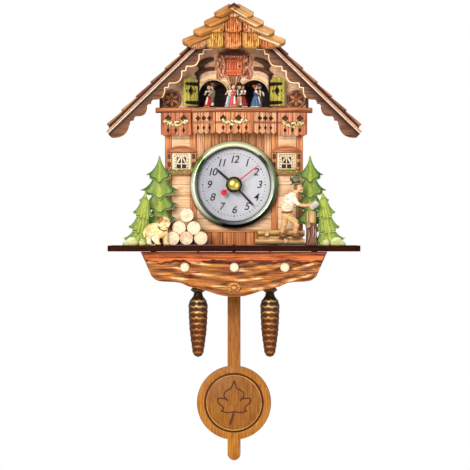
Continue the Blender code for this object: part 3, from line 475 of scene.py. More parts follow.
class Shape:
    """A mesh being gathered: each part brings its points, its own grain and its tint."""

    def __init__(self, seed=1):
        self.points, self.faces, self.grain, self.tints = [], [], [], []
        self.chance = random.Random(seed)

    def add(self, part, tint=WHITE, place=NONE, axis="X", vary=0.0):
        """tint is a colour, or a function of the local and the placed point."""
        points, faces, grain = part
        start = len(self.points)
        chance = self.chance
        jump = Vector([chance.uniform(-90, 90) for _ in range(3)])
        factor = 1 + chance.uniform(-vary, vary)
        order = AXES[axis]
        for index, local in enumerate(points):
            placed = place @ local
            self.points.append(placed)
            inner = grain[index] if grain else Vector([local[k] for k in order])
            self.grain.append(inner + jump)
            colour = tint(local, placed) if callable(tint) else tint
            self.tints.append(shade(colour, factor))
        self.faces += [[start + index for index in face] for face in faces]

    def mesh(self, name, look):
        """The gathered parts as one mesh in metres, its faces turned outwards."""
        mesh = bpy.data.meshes.new(name)
        mesh.from_pydata([point * MM for point in self.points], [], self.faces)
        grain = mesh.attributes.new("grain", "FLOAT_VECTOR", "POINT")
        grain.data.foreach_set("vector", [part for point in self.grain for part in point])
        tint = mesh.attributes.new("tint", "FLOAT_COLOR", "POINT")
        tint.data.foreach_set("color", [part for colour in self.tints for part in (*colour, 1.0)])
        even = bmesh.new()
        even.from_mesh(mesh)
        bmesh.ops.recalc_face_normals(even, faces=even.faces)
        even.to_mesh(mesh)
        even.free()
        mesh.materials.append(look)
        mesh.shade_smooth()
        return mesh

    def build(self, name, body, look, replaced=(), bevel=0.0, smooth=35):
        """The gathered parts as one piece that rides on a body."""
        mesh = self.mesh(name, look)
        piece = set_out(name, mesh)
        if bevel:
            soften_edges(piece, bevel, 40)
        else:
            mesh.set_sharp_from_angle(angle=math.radians(smooth))
        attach(piece, body)
        if replaced:
            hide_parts(*replaced)


# ---------------------------------------------------------------- outlines

def arc(centre, radius, start, end, steps):
    """Points of an arc, from start to end in degrees."""
    points = []
    for step in range(steps + 1):
        angle = math.radians(start + (end - start) * step / steps)
        points.append((centre[0] + radius * math.cos(angle), centre[1] + radius * math.sin(angle)))
    return points


def circle(centre, radius, steps=32):
    """A closed outline, its last point not repeated."""
    return arc(centre, radius, 0, 360, steps)[:-1]


def at_depth(outline, y):
    """An outline in X and Z as a path at one depth."""
    return [(x, y, z) for x, z in outline]


def rectangle(left, right, bottom, top):
    """The four corners of an upright rectangle."""
    return [(left, bottom), (right, bottom), (right, top), (left, top)]


def mirrored(outline, side=-1):
    """An outline for the left side (-1) or, unchanged, for the right (1)."""
    return [(side * x, z) for x, z in outline]


def reach_of(side, inner, outer):
    """Left and right limits of a stretch on one side of the house."""
    return sorted((side * inner, side * outer))


def axes(origin, along, across, up):
    """A placement whose local X, Y and Z run along the three directions."""
    directions = (Vector(along).normalized(), Vector(across).normalized(), Vector(up).normalized())
    return Matrix.Translation(Vector(origin)) @ Matrix(directions).transposed().to_4x4()


FACING = Matrix.Rotation(math.pi / 2, 4, "X")


def turned_to_front(x, y, z):
    """Local Z of a turned part comes out towards the viewer."""
    return Matrix.Translation((x, y, z)) @ FACING


# ---------------------------------------------------------------- the looks

CARVED = wood("carved oak", 0.5, contrast=(0.37, 0.55))
SHINGLE = wood("roof shingle", 0.46, streak=srgb(150, 90, 50), contrast=(0.38, 0.54), scale=0.8, relief=0.6)
DARK = wood("dark oak", 0.45, streak=srgb(120, 80, 60), contrast=(0.34, 0.52))
HOUSE = wood("golden oak", 0.5, streak=srgb(168, 112, 74), contrast=(0.38, 0.53))
APRON = wood("apron oak", 0.42, streak=srgb(150, 84, 36), contrast=(0.4, 0.54), coat=0.06)
ROD = wood("pendulum oak", 0.45, streak=srgb(206, 160, 96), contrast=(0.38, 0.6), scale=1.7, relief=0.25)
CREAM_WOOD = wood("cream wood", 0.5, streak=srgb(196, 160, 120), contrast=(0.36, 0.5), relief=0.3)
SAWN = wood("sawn ends", 0.55, streak=srgb(226, 200, 168), contrast=(0.34, 0.5), relief=0.15, hollow=0.8)
PLASTER_LOOK = paint("plaster", 0.7, carving=0.25, low=srgb(226, 196, 170), hollow=3.0)
PAINTED = paint("painted carving", 0.5, carving=0.3, low=srgb(206, 184, 168), hollow=1.0)
FOLIAGE = paint("tree paint", 0.5, carving=0.4, scale=0.9, hollow=1.8, low=srgb(206, 212, 168))
SHUTTER_LOOK = paint("shutter paint", 0.5, carving=0.5, low=srgb(176, 160, 120), hollow=0.9)
INK = paint("black lacquer", 0.35, carving=0.1, low=srgb(220, 220, 220))
BRASS = metal("turned brass", srgb(214, 190, 92), 0.24)
CHROME = plated("bezel chrome")
STEEL = metal("plain steel", srgb(176, 178, 180), 0.3)
BRONZE = plated("cone bronze", 0.34)
COPPER = metal("coil copper", srgb(196, 106, 60), 0.35, stretch=(0.3, 8.0, 8.0))


# ---------------------------------------------------------------- roof

def roof_under(x):
    """Height of the underside of the roof boards."""
    return RIDGE_UNDER - abs(x) * math.tan(SLOPE)


ALONG_ROOF = math.cos(SLOPE), math.sin(SLOPE)
ROW, ROW_LAP = 15.0, 1.5
DECK_LOW, DECK_BOARDS = 0.35, 12
HIP_TOP, HIP_FOOT, HIP_HALF = 72.0, 38.0, 36.5
HIP_FRONT, HIP_LEAN, HIP_THICK = -55.0, 0.7647, 1.2
ROOF_FRONT, ROOF_BACK = -70.0, -0.4


def roof_frame(side, x, y, lift):
    """Local X runs down the slope, Y to the wall, Z out of the roof."""
    origin = (side * x, y, roof_under(x) + lift)
    down = (side * ALONG_ROOF[0], 0, -ALONG_ROOF[1])
    out = (side * ALONG_ROOF[1], 0, ALONG_ROOF[0])
    return axes(origin, down, (0, 1, 0), out)


def scored(y):
    """Whether a place across a shingle lies in one of its split lines."""
    return math.sin(4.1 * y + 0.9 * math.sin(1.3 * y)) > 0.82


def shingle(length, width, thick_low, thick_top, round_end=0.0, sag=0.0, across=5, along=6, groove=0.0):
    """A split shingle: local X down the slope, Y across, its butt end rounded and its face scored."""
    points, faces = [], []
    for surface in (0, 1):
        for i in range(along + 1):
            share = i / along
            for j in range(across + 1):
                side = 2 * j / across - 1
                end = length - round_end * (1 - math.sqrt(max(0.0, 1 - 0.92 * side * side)))
                reach = share * end
                thick = thick_top + (thick_low - thick_top) * share
                crown = sag * (1 - side * side) - (groove if scored(side * width / 2) else 0.0)
                points.append(Vector((reach, side * width / 2, (thick + crown) * surface)))
    row, sheet = across + 1, (across + 1) * (along + 1)
    for i in range(along):
        for j in range(across):
            a, b, c, d = (i * row + j, (i + 1) * row + j, (i + 1) * row + j + 1, i * row + j + 1)
            faces.append([a, b, c, d])
            faces.append([sheet + a, sheet + d, sheet + c, sheet + b])
    for i in range(along):
        for j in (0, across):
            a, b = i * row + j, (i + 1) * row + j
            faces.append([a, b, sheet + b, sheet + a])
    for j in range(across):
        for i in (0, along):
            a, b = i * row + j, i * row + j + 1
            faces.append([a, b, sheet + b, sheet + a])
    return points, faces, None


SHINGLE_TONES = [srgb(222, 158, 104), srgb(206, 138, 98), srgb(214, 146, 92), srgb(196, 132, 104)]


def split_tint(tone, half, length):
    """Painted shade: darker at the neck under the row above, on the cut sides and on the underside."""
    def tint(local, placed):
        share = min(1.0, max(0.0, local.x / length))
        level = 0.74 + 0.28 * share
        if abs(local.y) > 0.97 * half:
            level *= 0.62
        return shade(tone, level if local.z > 0.05 else 0.34)
    return tint


def read_from(kept, tint):
    """A tint that reads the places noted in kept, in their order, in place of the local points."""
    known = iter(kept)
    return lambda local, placed: tint(next(known), placed)


def roof_strip(low, high):
    """The outline of a layer of the roof between two heights over its underside."""
    start, end = 0.2, EAVE - 0.6
    corners = ((start, low), (end, low), (end, high), (start, high))
    return [(x, roof_under(x) + lift) for x, lift in corners]


def build_roof(side, name):
    """Deck boards under rows of split shingles, with a dark layer between, painted as the shade under the
    shingles.
    """
    roof = Shape(11 + side)
    # A dark layer under the shingles: painted shade in the gap beneath them.
    layer = prism(mirrored(roof_strip(3.6, 6.6), side), ROOF_FRONT + 1.4, ROOF_BACK)
    roof.add(cut_hip(layer), srgb(84, 40, 14), axis="Y")
    deck = mirrored(roof_strip(DECK_LOW, 3.7), side)
    depth = (ROOF_BACK - ROOF_FRONT) / DECK_BOARDS
    for index in range(DECK_BOARDS):
        near = ROOF_FRONT + 0.6 + depth * index
        roof.add(cut_hip(prism(deck, near, near + depth - 0.25)), srgb(176, 126, 88), axis="Y", vary=0.1)
    rows = int(EAVE / ALONG_ROOF[0] // ROW) + 1
    for row in range(rows):
        lay_shingles(roof, side, row)
    roof.build(name, "house", SHINGLE, ["roof_board_" + name.split("_")[-1]], bevel=0.25)


def lay_shingles(roof, side, row):
    """One row of shingles of uneven width, each row's joints off those of the row below."""
    chance = roof.chance
    start = EAVE / ALONG_ROOF[0] - (row + 1) * ROW - ROW_LAP
    length = ROW + ROW_LAP + min(0.0, start)
    start = max(0.0, start)
    y = ROOF_FRONT + (0.0 if row % 2 else -5.5)
    while y < ROOF_BACK - 1:
        width = chance.uniform(10.5, 13.5)
        low, high = max(y, ROOF_FRONT + 0.1), min(y + width, ROOF_BACK)
        if ROOF_BACK - high < 4:
            high = ROOF_BACK
        y = high
        if high - low < 2.5:
            continue
        slip = chance.uniform(-0.5, 0.0)
        place = roof_frame(side, start * ALONG_ROOF[0], (low + high) / 2, 6.2)
        part = shingle(length + slip, high - low - 0.35, 2.1, 0.9, 0.8)
        tone = chance.choice(SHINGLE_TONES)
        kept = cut_hip(part, place)
        tint = read_from(kept[2], split_tint(tone, (high - low) / 2, length))
        roof.add(kept, tint, axis="X", vary=0.12)


def cut_hip(part, place=NONE):
    """A part, placed, with all that lies in front of the half-hip's rear face taken away."""
    points, faces, _ = part
    grain = [Vector(point) for point in points]
    points = [place @ point for point in points]
    if not any(behind_hip(point) < 0 for point in points):
        return points, faces, grain
    shape = bmesh.new()
    layer = shape.verts.layers.float_vector.new("grain")
    made = []
    for point, inner in zip(points, grain):
        vertex = shape.verts.new(point)
        vertex[layer] = inner
        made.append(vertex)
    for face in faces:
        shape.faces.new([made[index] for index in face])
    cut = bmesh.ops.bisect_plane(
        shape, geom=shape.verts[:] + shape.edges[:] + shape.faces[:], clear_inner=True,
        plane_co=(0, HIP_FRONT + HIP_THICK, HIP_TOP), plane_no=Vector((0, 1, -HIP_LEAN)).normalized())
    rim = [part for part in cut["geom_cut"] if isinstance(part, bmesh.types.BMEdge)]
    if rim:
        bmesh.ops.holes_fill(shape, edges=rim)
    shape.verts.index_update()
    result = ([vertex.co.copy() for vertex in shape.verts],
              [[vertex.index for vertex in face.verts] for face in shape.faces],
              [vertex[layer].copy() for vertex in shape.verts])
    shape.free()
    return result


def behind_hip(point):
    """How far a point lies behind the rear face of the half-hip; less than nothing is in front."""
    return point.y - (HIP_FRONT + HIP_THICK) - (point.z - HIP_TOP) * HIP_LEAN


def hip_y(z):
    """The front of the half-hip at a height."""
    return HIP_FRONT - (HIP_TOP - z) * HIP_LEAN


HIP_ROWS = (
    (51.0, 36.9, [(-27.0, srgb(240, 176, 130)), (-14.0, srgb(255, 204, 112)), (-0.8, srgb(252, 172, 108)),
                  (12.5, srgb(250, 188, 106)), (25.5, srgb(236, 150, 92))]),
    (62.0, 48.6, [(-13.5, srgb(250, 190, 106)), (-0.6, srgb(250, 166, 104)), (12.9, srgb(240, 168, 120))]))
HIP_EDGE = ((6.5, 65.2, 16.6, 0.56), (13.3, 58.0, 18.2, 0.47), (20.9, 50.8, 19.0, 0.41),
            (28.6, 43.2, 19.6, 0.39))
HIP_WIDTH = 12.5


def hip_core():
    """The solid wedge under the shingles of the half-hip."""
    corners = ((0, HIP_TOP - 1.2), (HIP_HALF - 1.5, HIP_FOOT + 0.8), (-HIP_HALF + 1.5, HIP_FOOT + 0.8))
    core = [Vector((x, hip_y(z) + forward, z)) for forward in (0.5, 4.6) for x, z in corners]
    return core, [[0, 1, 2], [5, 4, 3], [0, 3, 4, 1], [1, 4, 5, 2], [2, 5, 3, 0]], None


def build_hip():
    """The half-hip: a sloped front of broad shingles between two rows that straddle its edges."""
    hip = Shape(5)
    hip.add(hip_core(), srgb(150, 96, 62))
    down = Vector((0, -HIP_LEAN, -1)).normalized()
    out = Vector((0, -1, HIP_LEAN)).normalized()
    for top, bottom, row in HIP_ROWS:
        length = (top - bottom) / -down.z
        for x, tone in row:
            place = axes(Vector((x, hip_y(top), top)) + out * 0.2, down, (1, 0, 0), out)
            part = shingle(length, HIP_WIDTH, 3.0, 0.5, 3.4, 0.6, across=48, along=8, groove=0.35)
            tint = read_from(part[0], scored_tint(tone, HIP_WIDTH / 2, length))
            hip.add(trim_to_hip(part, place), tint, axis="X", vary=0.05)
    crest = axes(Vector((0, hip_y(68) - 0.2, 68.5)), down, (1, 0, 0), out)
    hip.add(shingle(9.0, 8.0, 2.4, 0.6, 2.8, 0.3), srgb(250, 206, 150), crest)
    for side, tone in ((-1, srgb(236, 166, 90)), (1, srgb(242, 182, 104))):
        for x, z, length, dip in HIP_EDGE:
            part = shingle(length, 10.2, 2.3, 1.7, 3.6, 0.3, across=16, along=12)
            hip.add(part, edge_glow(tone, length, side), hip_edge_place(side, x, z, length, dip), vary=0.06)
    cap = [(-4.6, 69.6), (-4.2, 71.0), (0, 73.6), (4.2, 71.0), (4.6, 69.6), (0, 72.0)]
    hip.add(prism(cap, -60.8, -53.5), srgb(92, 52, 34))
    hip.build("hip_shingles", "house", SHINGLE, ["roof_hip"], bevel=0.22)


def hip_edge_place(side, x, z, length, dip):
    """Where a shingle lies astride the sloping edge of the half-hip."""
    along = Vector((side * 0.824, -0.413, -dip)).normalized()
    across = Vector((side * 0.13, -0.60, 0.79)).cross(along).normalized()
    normal = along.cross(across)
    centre = Vector((side * x, max(hip_y(z), -80.0) - 0.6, z))
    return axes(centre - along * length / 2 + normal * 0.6, along, across, normal)


def edge_glow(tone, length, side):
    """A hip shingle with a painted highlight along its lower edge on one side of the roof and painted shade
    on its end.
    """
    base = split_tint(tone, 5.1, length)

    def tint(local, placed):
        colour = base(local, placed)
        if local.z < 0.05:
            return colour
        if side > 0 and local.y * side < -4.2:
            return srgb(252, 226, 186)
        return shade(colour, 0.62) if local.x > length - 0.9 else colour
    return tint


def scored_tint(tone, half, length):
    """A split shingle with painted shade in the dark lines down its face, the face between them lightened.
    """
    base = split_tint(tone, half, length)

    def tint(local, placed):
        return shade(base(local, placed), 0.74 if scored(local.y) else 1.12)
    return tint


def trim_to_hip(part, place):
    """Keep what lies between the two sloping edges of the half-hip."""
    points, faces, _ = part
    grain = [Vector(point) for point in points]
    points = [place @ point for point in points]
    edge = (HIP_TOP - HIP_FOOT) / HIP_HALF
    for point in points:
        room = (HIP_TOP + 1.0 - point.z) / edge
        point.x = max(-room, min(room, point.x))
    return points, faces, grain


def on_slope(along, down):
    """A point a distance down the roof's underside and a distance under it."""
    return (along * ALONG_ROOF[0] - down * ALONG_ROOF[1],
            RIDGE_UNDER - along * ALONG_ROOF[1] - down * ALONG_ROOF[0])


# One repeat of the scalloped edge, up from a lobe's root: (distance, depth) along the slope.
LOBE = 17.8
STAIR = [(10.6, 6.4), (12.9, 4.0), (15.2, 5.8), (LOBE, 3.8)]
FIRST_LOBE = 16.0
BARGE_START, BARGE_END, BEAD_END = 26.0, 129.4, 82.0
BARGE_FRONT = -72.6


def lobe_depth(reach):
    """How far the scalloped edge hangs at a distance up from the eave: round lobes, then two steps."""
    if reach < FIRST_LOBE:
        return 1.4 + 7.0 * math.sin(math.pi * (reach + 1.2) / 20.5) ** 0.7
    share = (reach - FIRST_LOBE + STAIR[0][0]) % LOBE
    if share < STAIR[0][0]:
        bulge = share / STAIR[0][0]
        return 3.8 + 2.6 * bulge + 2.7 * math.sin(math.pi * bulge)
    for (before, first), (after, second) in zip(STAIR, STAIR[1:]):
        if share <= after:
            return first + (second - first) * (share - before) / (after - before)
    return STAIR[-1][1]


def barge_edge(end, steps, lower=0.0):
    """Points along the scalloped edge, from the gable's peak towards the eave."""
    places = [BARGE_START + (end - BARGE_START) * step / steps for step in range(steps + 1)]
    return [on_slope(along, lobe_depth(BARGE_END - along) + lower) for along in places]


def barge_outline(side):
    """A bargeboard: the scalloped edge below and the roof's line above."""
    points = barge_edge(BARGE_END, 260) + [on_slope(BARGE_END, 0.0), on_slope(BARGE_START, 0.0)]
    return mirrored(points, side)


def barge_tint(local, placed):
    """Dark where the roof shades it, paler on the hanging lobes."""
    drop = (roof_under(placed.x) - placed.z) * ALONG_ROOF[0]
    return blend(BARGE_DARK, BARGE_LIGHT, min(1.0, max(0.0, (drop - 0.6) / 5.0)))


def slope_strip(side, down, lift, y0, y1):
    """A straight moulding that runs along the gable edge."""
    start, end = BARGE_START, BARGE_END - 0.2
    corners = [on_slope(start, down), on_slope(end, down), on_slope(end, down - lift),
               on_slope(start, down - lift)]
    return prism(mirrored(corners, side), y0, y1)


def build_barge(side, name):
    """A scalloped bargeboard under its mouldings, with a pale bead along the scallops."""
    barge = Shape(21 + side)
    barge.add(cut_hip(plate(barge_outline(side), BARGE_FRONT, BARGE_FRONT + 2.2, edge=0.3)), barge_tint)
    barge.add(cut_hip(slope_strip(side, 0.0, 2.6, -73.2, -70.2)), srgb(196, 144, 106))
    # A dark strip along the top of the bargeboard: painted shade under the roof's edge.
    barge.add(cut_hip(slope_strip(side, 0.7, 0.7, -73.4, -70.2)), srgb(60, 28, 14))
    barge.build("bargeboard_look_" + name, "house", DARK, ["bargeboard_" + name])
    trim = Shape(31 + side)
    trim.add(cut_hip(slope_strip(side, -0.5, 0.6, -73.7, -70.6)), srgb(250, 234, 214))
    trim.add(cut_hip(slope_strip(side, -1.75, 0.5, -73.5, -70.6)), srgb(222, 176, 156))
    bead = mirrored(barge_edge(BEAD_END, 180, lower=0.1), side)
    trim.add(sweep(at_depth(bead, BARGE_FRONT + 0.3), 0.52, 6), srgb(252, 230, 194))
    trim.build("bargeboard_trim_" + name, "house", SAWN)


# ---------------------------------------------------------------- tints

ACROSS, UP = 0, 2


def fade(first, second, axis, start, end):
    """A colour that changes along a world axis, in millimetres."""
    def tint(local, placed):
        share = (placed[axis] - start) / (end - start)
        return blend(first, second, min(1.0, max(0.0, share)))
    return tint


def ribbon(path, half):
    """The outline of a strip along a path, half is one number or one for each point."""
    if not isinstance(half, (list, tuple)):
        half = [half] * len(path)
    left, right = [], []
    for index, (x, z) in enumerate(path):
        x1, z1 = path[min(index + 1, len(path) - 1)]
        x0, z0 = path[max(index - 1, 0)]
        run = math.hypot(x1 - x0, z1 - z0)
        nx, nz = -(z1 - z0) / run, (x1 - x0) / run
        left.append((x + nx * half[index], z + nz * half[index]))
        right.append((x - nx * half[index], z - nz * half[index]))
    return left + right[::-1]


def planks(shape, edges, low, high, near, far, tones, edge=0.3):
    """Upright boards side by side. edges are the X positions of the joints."""
    for left, right in zip(edges, edges[1:]):
        plank = board(left + 0.12, right - 0.12, low, high, near, far, edge)
        shape.add(plank, shape.chance.choice(tones), axis="Z", vary=0.06)


# ---------------------------------------------------------------- gable

ARCH_X, ARCH_Z, ARCH_R = 15.3, 5.8, 11.2
INTO_WALL = WALL_FACE + 0.2
ATTIC_FOOT, PILLAR_FOOT = -6.2, -3.7


def arch_outline(side, grow=0.0):
    """One of the two doorways, round above and straight below."""
    radius = ARCH_R + grow
    curve = arc((side * ARCH_X, ARCH_Z), radius, 0, 180, 24)
    foot = PILLAR_FOOT - grow
    return [(side * ARCH_X + radius, foot), *curve, (side * ARCH_X - radius, foot)]


def build_plaster():
    """The plastered gable wall with its two doorways and the cuckoo's hatch."""
    wall = Shape(41)
    half = 56.0
    shoulder = roof_under(half) - 0.6
    outline = [(-half, ATTIC_FOOT), (half, ATTIC_FOOT), (half, shoulder), (0, RIDGE_UNDER - 0.6),
               (-half, shoulder)]
    holes = [arch_outline(-1), arch_outline(1), rectangle(-5.4, 5.4, 20.6, 32.8)]
    tone = fade(srgb(240, 204, 168), srgb(222, 160, 116), UP, 20, 50)
    wall.add(plate(outline, WALL_FACE, -44.2, holes), tone)
    wall.build("gable_plaster", "house", PLASTER_LOOK, ["attic_wall"])


def build_arch_trim():
    """A cream bead round each doorway and a flat collar over it."""
    trim = Shape(42)
    for side in (-1, 1):
        trim.add(sweep(at_depth(arch_outline(side, 0.1), WALL_FACE - 0.3), 0.55, 6), CREAM)
        centre = (side * ARCH_X, ARCH_Z)
        collar = arc(centre, 15.4, 160, 20, 24) + arc(centre, 11.9, 20, 160, 24)
        collar = [(min(-0.4, x) if side < 0 else max(0.4, x), z) for x, z in collar]
        trim.add(plate(collar, WALL_FACE - 0.5, INTO_WALL, edge=0.2), srgb(240, 208, 168))
    trim.build("arch_trim", "house", CREAM_WOOD)


def build_surround():
    """Carved scrolls and chips beside the hatch, rays under it and the pillar between the doorways."""
    surround = Shape(43)
    chance = surround.chance
    for side in (-1, 1):
        for index, tone in enumerate((srgb(236, 164, 130), srgb(176, 112, 78), srgb(214, 146, 112))):
            path = []
            for step in range(7):
                lean = 0.9 * math.sin(step * 1.9 + 2.2 * index + side)
                path.append((side * (7.6 + 2.2 * index + lean), WALL_FACE - 0.6, 36.6 - step * 3.0 - index))
            surround.add(sweep(path, [0.7, 1.3, 1.5, 1.2, 1.5, 1.2, 0.4], 7, 0.7), tone)
        for index in range(17):
            x = side * chance.uniform(7.4, 13.2 - 0.12 * index)
            spot = (x, WALL_FACE - chance.uniform(0.8, 1.6), 36.4 - 1.1 * index)
            turn = Matrix.Translation(spot) @ Matrix.Rotation(side * chance.uniform(-0.1, 0.9), 4, "Y")
            tone = chance.choice([srgb(242, 176, 142), srgb(196, 128, 92), srgb(150, 92, 60),
                                  srgb(250, 204, 170)])
            size = (chance.uniform(0.5, 0.9), 0.7, chance.uniform(1.3, 2.4))
            surround.add(ball((0, 0, 0), size, 10, 7), tone, turn)
    for index in range(5):
        x = -4.4 + 2.2 * index
        ray = [(x, WALL_FACE - 1.0, 19.4), (x * 0.8, WALL_FACE - 1.2, 16.2),
               (x * 0.45, WALL_FACE - 1.4, 12.2)]
        surround.add(sweep(ray, [0.9, 0.8, 0.35], 7),
                     chance.choice([srgb(226, 182, 146), srgb(190, 136, 102)]))
    pillar = [(-3.6, 12.0), (-2.2, 16.5), (-3.4, 19.4), (3.4, 19.4), (2.2, 16.5), (3.6, 12.0), (2.6, 4.0),
              (3.2, -5.4), (-3.2, -5.4), (-2.6, 4.0)]
    surround.add(plate(pillar, -49.3, INTO_WALL, edge=0.5), srgb(232, 190, 152), axis="Z")
    surround.build("surround_carving", "house", CARVED)


def build_timbers():
    """The crown over the hatch and, on each side, braces, a curved limb, a corner post and door blocks."""
    crown = Shape(44)
    peak = [(-9.0, 35.4), (9.0, 35.4), (6.2, 37.6), (1.0, 40.6), (-1.0, 40.6), (-6.2, 37.6)]
    crown.add(plate(peak, -50.6, INTO_WALL, edge=0.5), srgb(96, 52, 32))
    for side in (-1, 1):
        hood = mirrored([(9.6, 35.0), (5.4, 38.2), (0, 41.2)], side)
        crown.add(sweep(at_depth(hood, -50.9), 0.7, 6), srgb(124, 70, 42))
        brace = [(15.2, 32.6), (18.4, 31.8), (21.6, 30.6), (24.6, 28.8), (26.8, 26.4)]
        tie = [(23.4, 30.6), (24.2, 26.6), (25.4, 22.8)]
        limb = mirrored(arc((side * ARCH_X, ARCH_Z), 19.4, 90 + side * 2, 90 - side * 43, 10), side)
        # The upper brace is partly a real brace and partly the bargeboard's painted shadow on the plaster.
        for path, half, near, tone in ((brace, [1.2, 1.6, 2.1, 2.0, 1.2], -49.7, srgb(92, 54, 34)),
                                       (tie, [1.9, 1.6, 1.3], -49.5, DARK_OAK),
                                       (limb, [1.3] * 7 + [1.5, 1.7, 1.8, 1.8], -49.7, srgb(88, 46, 26))):
            crown.add(plate(ribbon(mirrored(path, side), half), near, INTO_WALL, edge=0.35), tone)
        post = slab(side * 53.9, side * 55.9, -49.6, -44.2, ATTIC_FOOT + 0.2, roof_under(55) - 1.2)
        crown.add(post, DARK_OAK, axis="Z")
        for low, high in ((-5.0, -3.5), (19.6, 21.1)):
            crown.add(slab(side * 25.8, side * 28.4, -50.6, -47.9, low, high), BLACK)
    crown.build("gable_timbers", "house", DARK, bevel=0.2)


def build_gable_carvings():
    """A row of beads on a ledge under the crown, and a carved wheel near each eave."""
    bead = Shape(45)
    for index in range(7):
        bead.add(ball((-5.1 + 1.7 * index, -49.6, 34.3), (0.95, 0.8, 1.0), 10, 6), srgb(238, 186, 160))
    bead.add(board(-7.0, 7.0, 33.4, 35.3, -49.2, INTO_WALL, 0.3), srgb(226, 160, 128))
    rim = [(5.6, -0.8), (7.0, -0.8), (7.0, 0.2), (6.6, 0.6), (6.1, 0.6), (5.6, 0.2), (5.6, -0.8)]
    for side in (-1, 1):
        hub = turned_to_front(side * 46.8, -49.0, 2.0)
        bead.add(lathe(rim, 36), srgb(190, 132, 94), hub)
        bead.add(disc(5.8, -0.8, -0.3), srgb(96, 58, 38), hub)
        for petal in range(6):
            turn = hub @ Matrix.Rotation(math.radians(60 * petal + 30), 4, "Z")
            bead.add(ball((3.2, 0, 0.0), (2.5, 1.3, 0.8), 10, 6), srgb(206, 148, 108), turn)
        bead.add(ball((0, 0, 0.2), (0.9, 0.9, 0.6), 10, 6), srgb(206, 150, 110), hub)
    bead.build("gable_carvings", "house", CARVED)


def build_loft():
    """Boards behind the doorways, round the turning platform, painted dark as the shade inside the loft."""
    liner = Shape(46)
    foot = ATTIC_FOOT + 0.4
    liner.add(slab(-50, 50, -12.0, -10.5, foot, 14), LOFT_SHADE_BROWN)
    for side in (-1, 1):
        liner.add(slab(side * 34.0, side * 35.2, -43.8, -12.0, foot, 22), LOFT_SHADE_BROWN)
    liner.build("loft_boards", "house", DARK, bevel=0.2)


def build_cuckoo_door():
    """Three orange planks held by two ledges, with a black knob."""
    door = Shape(47)
    planks(door, [-6.0, -2.1, 1.9, 6.0], 20.0, 33.3, -49.4, -48.4,
           [srgb(250, 140, 92), srgb(234, 118, 72), srgb(244, 130, 84)])
    for low, high in ((22.0, 24.2), (30.4, 31.9)):
        door.add(board(-5.8, 5.8, low, high, -50.3, -49.3), srgb(226, 112, 66))
    door.add(ball((4.2, -50.1, 26.8), (0.7, 0.6, 0.7), 10, 6), BLACK)
    door.build("door_planks", "door", HOUSE, ["cuckoo_door"])


SHUTTER_W, SHUTTER_FOOT, SHUTTER_HIGH, SHUTTER_POINT = 13.0, -3.1, 16.4, 2.8
SHUTTER_NEAR, SHUTTER_FAR, SHUTTER_START = -0.7, 0.9, 0.4
SHUTTER_MID = SHUTTER_START + SHUTTER_W / 2
PANE_Z, PANE_HALF, PANE_HIGH = 8.2, 2.0, 3.4


def shutter_head(x):
    """Height of a shutter's pointed top."""
    return SHUTTER_HIGH + SHUTTER_POINT * (1 - abs(x - SHUTTER_MID) / (SHUTTER_W / 2))


def shutter_plank(index, left, right):
    """One plank; the two in the middle have the sides of the diamond window cut out of them."""
    outline = [(left, SHUTTER_FOOT), (right, SHUTTER_FOOT)]
    if index == 1:
        outline += [(right, 4.9), (SHUTTER_MID - PANE_HALF, PANE_Z), (right, 11.5)]
    outline += [(right, shutter_head(right + 0.1)), (left, shutter_head(left - 0.1))]
    if index == 2:
        outline += [(left, 11.5), (SHUTTER_MID + PANE_HALF, PANE_Z), (left, 4.9)]
    return outline


def build_shutter(side, name):
    """A planked shutter on a knuckled pivot, with a diamond window and black strap hinges."""
    place = Matrix.Translation((side * 27.0, -49.5, 0)) @ Matrix.Rotation(math.radians(-side * 35), 4, "Z")
    near = SHUTTER_NEAR
    leaf = Shape(51 + side)
    joints = [SHUTTER_START + SHUTTER_W * k / 4 for k in range(5)]
    for index, (left, right) in enumerate(zip(joints, joints[1:])):
        outline = mirrored(shutter_plank(index, left + 0.1, right - 0.1), side)
        tone = leaf.chance.choice([srgb(206, 196, 92), srgb(184, 172, 74), srgb(222, 212, 112)])
        leaf.add(plate(outline, near, SHUTTER_FAR), tone, place, axis="Z", vary=0.05)
    leaf.build("shutter_planks_" + name, name + "_shutter", SHUTTER_LOOK,
               ["shutter_" + name])
    iron = Shape(53 + side)
    for height in (-0.6, 13.4):
        strap = [(0.2, height - 1.4), (10.6, height - 1.1), (12.4, height), (10.6, height + 1.1),
                 (0.2, height + 1.4)]
        iron.add(plate(mirrored(strap, side), near - 0.5, near + 0.1, edge=0.15), BLACK, place)
        for along in (2.0, 5.6, 9.0):
            iron.add(ball((side * along, near - 0.5, height), 0.45, 8, 5), srgb(60, 52, 46), place)
    iron.add(disc(1.05, -3.4, 19.5, 14), BLACK, place)
    for x in (SHUTTER_MID - 3.9, SHUTTER_MID + 3.9):
        stud = mirrored(diamond(x, PANE_Z, 0.7, 1.2), side)
        iron.add(plate(stud, near - 0.15, near + 0.3, edge=0.05), BLACK, place)
    pane = mirrored(diamond(SHUTTER_MID, PANE_Z, PANE_HALF, PANE_HIGH), side)
    iron.add(plate(pane, 0.1, 0.6), BLACK, place)
    iron.add(sweep(at_depth(pane + pane[:1], near - 0.1), 0.35, 6), srgb(50, 36, 22), place)
    iron.build("shutter_irons_" + name, name + "_shutter", INK)


def diamond(x, z, half, high):
    """An upright diamond."""
    return [(x - half, z), (x, z - high), (x + half, z), (x, z + high)]


# ---------------------------------------------------------------- balcony

RAIL_LOW, RAIL_HIGH = -8.6, -4.5
CLOVER_Z = -12.6
BAND = (-1.3, 1.0, -16.4, -15.2)


def notch_points(x, z, facing, kind, size=1.0):
    """Half of a clover or a diamond cut into a plank's edge, listed upwards."""
    if kind == "clover":
        points = []
        for step in range(13):
            angle = math.radians(-90 + 15 * step)
            radius = size * (1.55 + 0.75 * abs(math.cos(2 * angle)))
            points.append((x + facing * radius * math.cos(angle), z + radius * math.sin(angle)))
        return points
    return [(x, z - 1.9), (x + facing * 1.1, z), (x, z + 1.9)]


